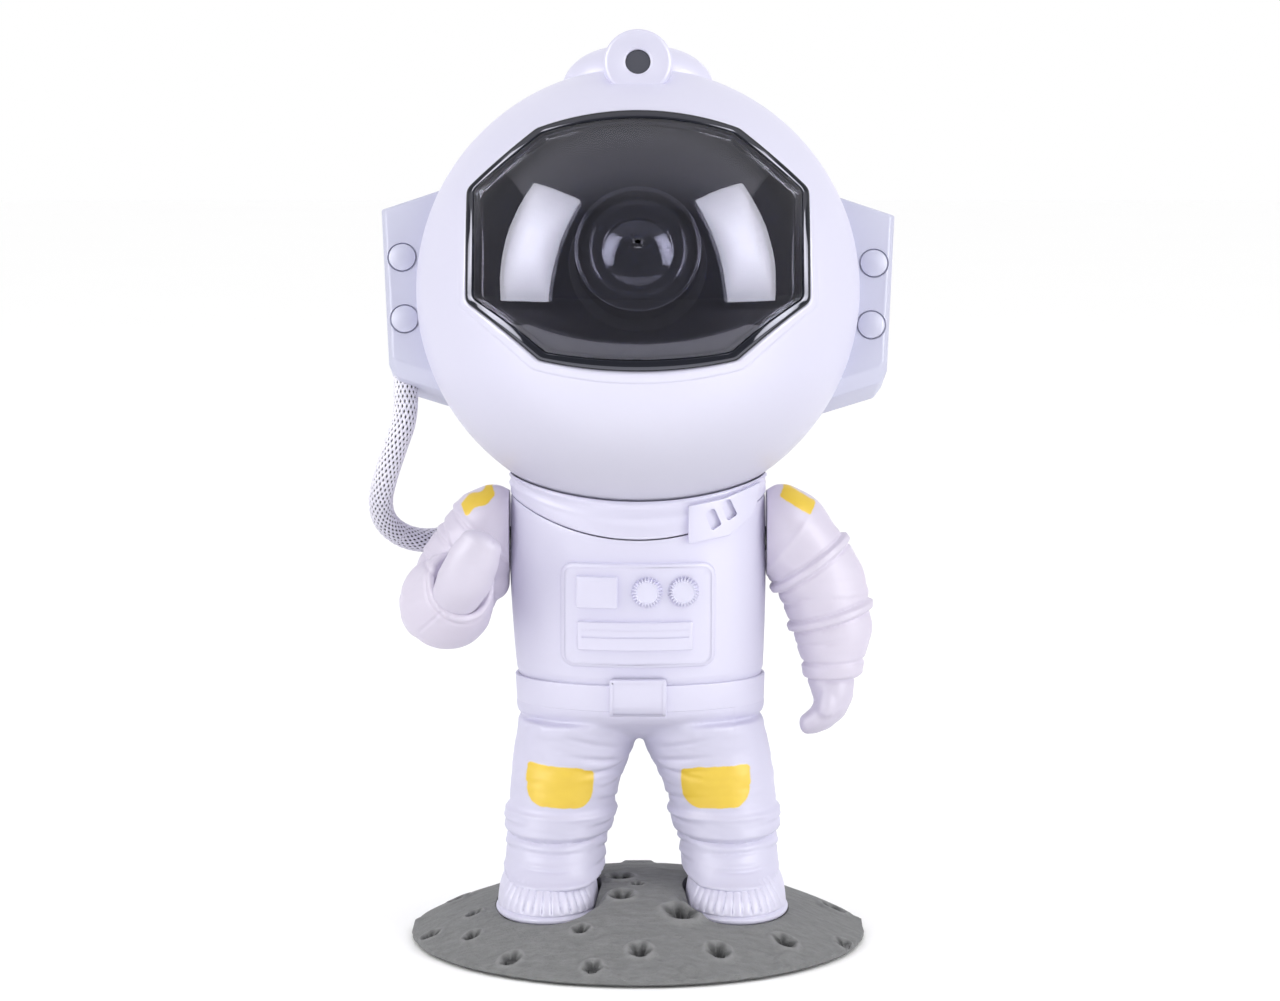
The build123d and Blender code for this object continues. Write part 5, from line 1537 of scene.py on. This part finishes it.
LEFT_FOLDS = [  # a sloping line seen from the front, height, width, where it fades out and over how much
    ((35.0, 97.5), (44.0, 109.5), 0.30, 0.8, 46, 6), ((35.5, 84.0), (46.0, 88.6), -0.35, 0.6, 46, 8),
    ((40.0, 74.5), (50.0, 76.6), -0.30, 0.5, 54, 8),
]
RIGHT_FOLDS = [  # a sloping line seen from the front, and its depth
    ((-47.0, 109.0), (-36.0, 99.0), 0.45), ((-52.0, 104.0), (-38.0, 93.5), 0.42),
    ((-56.0, 99.0), (-44.0, 92.0), 0.40), ((-50.0, 107.5), (-44.0, 96.0), 0.35),
]


def band_height(x, z, start, end):
    """How far a place seen from the front lies above a sloping line."""
    (x0, z0), (x1, z1) = start, end
    length = math.hypot(x1 - x0, z1 - z0)
    return ((x1 - x0) * (z - z0) - (z1 - z0) * (x - x0)) / length


def bands(x, z, lines):
    """Flat piping: a raised band with crisp flanks and a narrow groove on either side."""
    out = 0.0
    for start, end, rise, width in lines:
        off = abs(band_height(x, z, start, end))
        out += rise * ease((width + 0.35 - off) / 0.7) - 0.32 * ridge(off - width - 0.55, 0.4)
    return out


def drape(point, scale, depth):
    """Soft folds that run across the sleeve."""
    spot = Vector((point.x * 0.5, point.y * 0.5, point.z * 1.4))
    return depth * noise.noise(spot / scale) + 0.3 * depth * noise.noise(spot * 2.7 / scale)


def left_sleeve_relief(point, _):
    """Piping, the cuff's lip, folds and the pouching at the elbow."""
    x, z = point.x, point.z
    out = bands(x, z, LEFT_BANDS)
    cuff = band_height(x, z, (41.2, 68.1), (56.0, 69.0))
    out += 0.55 * ease((1.9 - abs(cuff)) / 0.7) - 0.35 * ridge(cuff - 2.1, 0.45)
    for start, end, rise, width, fade_at, fade in LEFT_FOLDS:
        out += rise * ridge(band_height(x, z, start, end), width) * ease((fade_at - x) / fade)
    pouch = 0.6 * ridge(z - 93, 6.0) * ease((x - 50) / 6) + 0.5 * ridge(z - 77.0, 4.0) * ease((x - 50) / 6)
    return out + pouch + drape(point, 6.0, 0.28) * ease((x - ARM_FACE_X) / 3)


def flat_sided(bm, s):
    """Cut a sleeve off flat beside the torso."""
    return closed(sliced(bm, (s * ARM_FACE_X, 0, 0), (-s, 0, 0), True))


def left_arm(finish):
    """The hanging sleeve with its piping and cuff."""
    upper = sleeve(UPPER_ARM, 64, 40)
    lower = sleeve(LEFT_LOWER, 64, 40, round_low=0.6)
    bm = displaced(fused([upper, lower], 0.4, 5), left_sleeve_relief)
    piece("left_sleeve", "left_arm", flat_sided(bm, 1), finish, stands_for=["left_arm"], sharp=60)


def mitten(palm, thumb, relief):
    """A hand fused from a palm and a thumb."""
    return displaced(fused([tube(palm, 40, 40, 0.15), tube(thumb, 28, 28, 0.3)], 0.33, 9), relief)


def left_hand(finish):
    """A relaxed mitten, hooked inwards, with its thumb laid over the palm."""
    palm = [
        ((48.4, -2.7, 70.0), 5.4, 6.2), ((48.4, -2.9, 66.6), 6.1, 6.8),
        ((48.7, -3.4, 62.6), 5.3, 6.8), ((48.1, -4.0, 59.4), 4.5, 6.2),
        ((46.3, -4.7, 57.0), 3.7, 5.4), ((44.0, -5.2, 55.5), 3.1, 4.4),
        ((41.9, -5.5, 54.7), 2.5, 3.4), ((40.4, -5.6, 54.3), 1.9, 2.6),
    ]
    thumb = [
        ((47.8, -6.0, 66.0), 2.4, 2.4), ((47.4, -8.2, 62.0), 2.4, 2.4),
        ((47.0, -9.0, 59.0), 2.3, 2.2), ((46.8, -8.8, 57.2), 1.9, 1.8),
    ]

    def relief(point, _):
        return -0.25 * ridge(point.z - 66.2, 0.5) + 0.10 * noise.noise(point / 4.0)

    bm = mitten(palm, thumb, relief)
    piece("left_mitten", "left_arm", bm, finish, stands_for=["left_hand"], sharp=70)


ELBOW, FOREARM = Vector((-48.4, -2.0, 86.6)), Vector((-47.2, -12.5, 86.7))
CUFF_END = Vector((-42.8, -24.0, 93.2))
CUFF_WIDE, CUFF_DEEP = 8.2, 9.7
RIGHT_LOW = [
    (75.2, -48.9, -3.4, 4.0, 5.0), (77.6, -48.8, -3.2, 8.4, 9.2), (82.0, -48.4, -2.0, 11.2, 11.6),
    (87.0, -46.6, -0.6, 12.1, 12.2),
]


def mirrored(stations):
    """The same levels on the other side of the figure."""
    return [(z, -x, y, wide, deep) for z, x, y, wide, deep in stations]


def right_sleeve_relief(point, _):
    """The cuff's lip round its hollow, a mould seam, and folds that run over the shoulder."""
    x, z = point.x, point.z
    path = (CUFF_END - FOREARM).normalized()
    side = (ACROSS - path * path.x).normalized()
    off = point - CUFF_END
    ahead = off.dot(path)
    reach = math.hypot(off.dot(side) / CUFF_WIDE, off.dot(path.cross(side)) / CUFF_DEEP)
    out = drape(point, 6.0, 0.30) * ease((-x - ARM_FACE_X) / 3)
    if ahead > -6 and reach < 1.5:
        out -= 2.4 * ease((0.88 - reach) / 0.12) * ease((ahead + 2.5) / 1.5)
        out += 0.30 * ridge(ahead + 0.6, 0.9) * ease((reach - 0.9) / 0.1)
        out -= 0.38 * ridge(ahead + 2.6, 0.55) * ease((reach - 0.9) / 0.1)
    if point.y < -9 and reach > 0.95:
        seam = band_height(x, z, (-54.0, 80.0), (-47.4, 86.6))
        out -= 0.32 * ridge(seam, 0.32) * ease((-46.4 - x) / 1.0) * ease((x + 55.0) / 2.0)
        out -= 0.28 * ridge(band_height(x, z, (-57.2, 90.0), (-50.4, 99.0)), 0.5) * ease((-49.6 - x) / 1.5)
    for start, end, depth in RIGHT_FOLDS:
        across = band_height(x, z, start, end)
        out += depth * (0.7 * ridge(across - 0.9, 0.9) - ridge(across, 0.55)) * ease((z - 90) / 5)
    return out


def right_arm(finish):
    """The raised sleeve, whose cuff opens in a hollow for the hand."""
    upper = sleeve(mirrored(UPPER_ARM), 64, 40)
    lower = sleeve(RIGHT_LOW, 64, 40)
    bend = [(ELBOW, 10.8, 10.8), (FOREARM, 11.6, 11.8), (CUFF_END, CUFF_WIDE, CUFF_DEEP)]
    forearm = tube(bend, 72, 64, 0.07)
    flank = [((-40.0, -1.0, 99.0), 6.5, 8.0), ((-37.6, -1.6, 92.5), 5.6, 7.0)]
    inner = tube([*flank, ((-37.0, -2.4, 85.4), 4.4, 5.4)], 32, 32, 0.3)
    bm = displaced(fused([upper, lower, forearm, inner], 0.45, 4), right_sleeve_relief)
    piece("right_sleeve", "right_arm", flat_sided(bm, -1), finish, stands_for=["right_arm"], sharp=60)


def right_hand(finish):
    """A raised mitten, set in the cuff's hollow and leaning towards the helmet."""
    palm = [
        ((-45.4, -21.6, 87.6), 4.6, 4.4), ((-44.0, -25.6, 90.4), 6.2, 5.2),
        ((-42.0, -28.4, 94.4), 6.7, 5.4), ((-39.8, -30.4, 99.4), 6.3, 5.0),
        ((-37.8, -31.6, 103.6), 5.2, 4.2), ((-36.6, -32.0, 106.2), 3.6, 3.0),
    ]
    thumb = [
        ((-39.0, -28.6, 96.0), 3.2, 3.2), ((-36.8, -29.8, 99.6), 3.0, 3.0),
        ((-35.7, -30.8, 102.6), 2.5, 2.5), ((-35.6, -31.2, 103.8), 1.9, 1.9),
    ]

    def relief(point, _):
        fold = ridge(band_height(point.x, point.z, (-37.4, 100.0), (-34.6, 105.0)), 0.5)
        return 0.12 * noise.noise(point / 5.0) - 0.15 * fold * ease((point.x + 38) / 2)

    bm = mitten(palm, thumb, relief)
    piece("right_mitten", "right_arm", bm, finish, stands_for=["right_hand"], sharp=70)


# Hose -------------------------------------------------------------------------------------------
HOSE_D, HOSE_UPPER_LONG, HOSE_LOWER_LONG = 6.2, 42.7, 38.6
HOSE_IN_POD = 6.5
HOSE_TOP = [
    (-58.0, 2.08, 135.99), (-58.0, 0.79, 131.16), (-60.4, 0.6, 124.6), (-63.4, 2.6, 116.0),
    (-65.2, 7.2, 109.0), (-64.0, 13.0, 102.8),
]
HOSE_LOW = [
    (-58.4, 19.0, 98.2), (-50.8, 24.8, 97.3), (-43.2, 26.6, 99.8), (-34.9, 27.0, 104.0),
    (-27.1, 27.0, 104.0),
]
HOSE_JOIN = tuple((a + b) / 2 for a, b in zip(HOSE_TOP[-1], HOSE_LOW[0]))
STRANDS, CELL = 16, 1.22  # strands each way round the hose, and their pitch along it
STRAND_W, STRAND_DEEP = 0.66, 0.42  # a strand's width as a share of its cell, and the braid's depth


def route(points):
    """The hose's centreline, read from a smooth spline through its route, in metres."""
    curve = bpy.data.curves.new("route", "CURVE")
    curve.dimensions = "3D"
    curve.resolution_u = 44
    spline = curve.splines.new("NURBS")
    spline.points.add(len(points) - 1)
    for control, point in zip(spline.points, points):
        control.co = (point[0] * MM, point[1] * MM, point[2] * MM, 1.0)
    spline.order_u = 3
    spline.use_endpoint_u = True
    holder = bpy.data.objects.new("route", curve)
    bpy.context.scene.collection.objects.link(holder)
    line = bpy.data.meshes.new_from_object(holder)
    path = [vert.co.copy() for vert in line.vertices]
    bpy.data.objects.remove(holder)
    bpy.data.curves.remove(curve)
    bpy.data.meshes.remove(line)
    return path


def strand_rise(turn, reach):
    """Height of the braid: two families of flat strands that pass over and under each other."""
    a, b = turn + reach, turn - reach
    over = 1 if (math.floor(a + 0.5) + math.floor(b + 0.5)) % 2 else -1

    def strand(at, share):
        near = abs(at - round(at)) * 2
        return math.sqrt(max(0.0, 1 - (near / STRAND_W) ** 2)) * share

    return max(strand(a, 0.8 + 0.2 * over), strand(b, 0.8 - 0.2 * over))


def braided(path, start_long, finish, name, node, body=None):
    """A tube of braided strands whose UVs run round it and along it in strand widths."""
    bm = bmesh.new()
    uv = bm.loops.layers.uv.new("braid")
    columns = 128
    spots = [point / MM for point in path]
    side, rings, longs = Vector((1, 0, 0)), [], [start_long]
    for a, b in zip(spots, spots[1:]):
        longs.append(longs[-1] + (b - a).length)
    for k, here in enumerate(spots):
        ahead = (spots[min(k + 1, len(spots) - 1)] - spots[max(k - 1, 0)]).normalized()
        side = (side - ahead * side.dot(ahead)).normalized()
        front = ahead.cross(side)
        ring = []
        for c in range(columns):
            share = c / columns
            angle = math.tau * share
            spoke = side * math.cos(angle) + front * math.sin(angle)
            rise = STRAND_DEEP * (strand_rise(share * STRANDS, longs[k] / CELL / 2) - 1)
            ring.append(bm.verts.new(here + spoke * (HOSE_D / 2 + rise)))
        rings.append(ring)
    for k in range(len(rings) - 1):
        for c in range(columns):
            d = (c + 1) % columns
            face = bm.faces.new((rings[k][c], rings[k][d], rings[k + 1][d], rings[k + 1][c]))
            for loop, (i, j) in zip(face.loops, ((c, k), (c + 1, k), (c + 1, k + 1), (c, k + 1))):
                loop[uv].uv = (i / columns * STRANDS, longs[j] / CELL / 2)
    closed(bm)
    return piece(name, body, bm, finish, stands_for=[node], sharp=180), longs[-1]


def braid_finish():
    """White strands with painted shade between them and at their edges, and fine threads along each strand.
    """
    finish = Finish("hose braid")
    round_it, along_it = finish.chart("braid")

    def off(value):
        return (value - value.whole()).size() * 2

    first, second = off(round_it + along_it), off(round_it - along_it)
    gap = first.least(second).above(STRAND_W - 0.10, 0.14)
    # painted shade: the strands darken towards their edges, where they dip under each other
    edge = first.above(0.66, 0.2) * 0.22 + second.above(0.66, 0.2) * 0.22
    pale = finish.mix(finish.grain(300.0), (0.70, 0.68, 0.78), (0.78, 0.765, 0.86))
    painted_edge_shade = finish.mix(edge, pale, (0.42, 0.40, 0.48))
    # painted shade: the gaps between the strands are nearly black
    finish.colour(finish.mix(gap, painted_edge_shade, (0.010, 0.009, 0.014)))
    finish.feed("Roughness", 0.5 + gap * 0.3)
    threads = off(first * 3.5).least(off(second * 3.5))
    finish.relief(threads, 0.03)
    return finish.material


def hose(finish):
    """One hose in two lengths, with a short end of braid tucked into the right pod."""
    top, end = route([*HOSE_TOP, HOSE_JOIN]), route([HOSE_JOIN, *HOSE_LOW])
    into_pod = (top[0] - top[1]).normalized() * HOSE_IN_POD * MM
    tucked = [top[0] + into_pod * share / 20 for share in range(20, -1, -1)]
    braided(tucked, -into_pod.length / MM, finish, "braid_in_pod", "pod_ferrule", "head")
    upper, reached = braided(top, 0.0, finish, "braid_upper", "hose_upper")
    lower, _ = braided(end, reached, finish, "braid_lower", "hose_lower")
    tuple(top[0])
    tuple(top[-1])
    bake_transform(upper)
    tuple(end[0])
    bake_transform(lower)
    tuple(top[0])
    [tuple(point) for point in top]
    tuple(end[-1])
    [tuple(point) for point in reversed(end)]


def dress_bare():
    """Give each carried-over solid the finish of its material."""
    rubber = moulded("pad rubber", (0.02, 0.02, 0.021), (0.028, 0.028, 0.03), 0.8, 0.05, 900.0)
    bare = [
        (rubber.material, ["base_feet"]),
        (metal("plated steel", (0.60, 0.60, 0.61), (0.50, 0.50, 0.51), 0.28, (1.0, 1.0, 8.0)),
         ["base_screws", "body_screws", "helmet_screws", "keeper_plate", "usb_socket", "ripple_motor"]),
        # painted shade: the arm pins are coloured dark so that the gaps at the shoulders show as dark lines
        (metal("steel darkened as gap shade", (0.10, 0.10, 0.105), (0.07, 0.07, 0.075), 0.45, (8.0, 1.0, 1.0)),
         ["left_pin", "right_pin"]),
        (metal("nickel plate", (0.68, 0.67, 0.66), (0.60, 0.59, 0.58), 0.15, (1.0, 1.0, 4.0)),
         ["neck_magnet"]),
        (metal("machined aluminium", (0.74, 0.75, 0.76), (0.62, 0.63, 0.64), 0.32, (6.0, 1.0, 1.0)),
         ["heat_sink"]),
        (metal("turned brass", (0.76, 0.60, 0.28), (0.62, 0.46, 0.20), 0.25, (1.0, 8.0, 1.0)),
         ["laser_module"]),
        (plastic("black plastic"), ["base_plate", "ripple_pinion", "tact_switches"]),
        (plastic("mask black"), ["inner_mask"]),
        (board(), ["led_board", "main_board"]),
        (plastic("phosphor"), ["led_emitters"]),
        (clear_plastic(), ["condenser_lens", "ripple_disc"]),
        (plastic("trim plastic"), ["boot_pegs", "neck_seat", "swivel_ring"]),
        (plastic("pod plastic"), ["pack_ferrule", "power_button", "mode_button"]),
    ]
    for finish, nodes in bare:
        for name in nodes:
            mesh = frame["nodes"][name].data
            mesh.materials.clear()
            mesh.materials.append(finish)


# Whole model ------------------------------------------------------------------------------------
helmet_front(helmet_plastic())
helmet_rear(helmet_plastic())
visor(smoked_visor(), plastic("gloss black"))
lens(plastic("lens black"), plastic("lens black"))
crest(helmet_plastic(), plastic("smoked pane"), plastic("trim plastic"))
ears(plastic("pod plastic"), plastic("pod plastic"))
suit = plastic("suit plastic")
torso(suit)
collar(suit)
clasp(suit)
belt(suit)
chest_panel(suit)
knobs(plastic("trim plastic"))
backpack(suit)
trousers(trouser_plastic())
boot(-1, "right", suit)
boot(1, "left", suit)
moon_base(moon_dust())
left_arm(sleeve_plastic(1, "left"))
left_hand(plastic("hand plastic"))
right_arm(sleeve_plastic(-1, "right"))
right_hand(plastic("hand plastic"))
hose(braid_finish())
dress_bare()
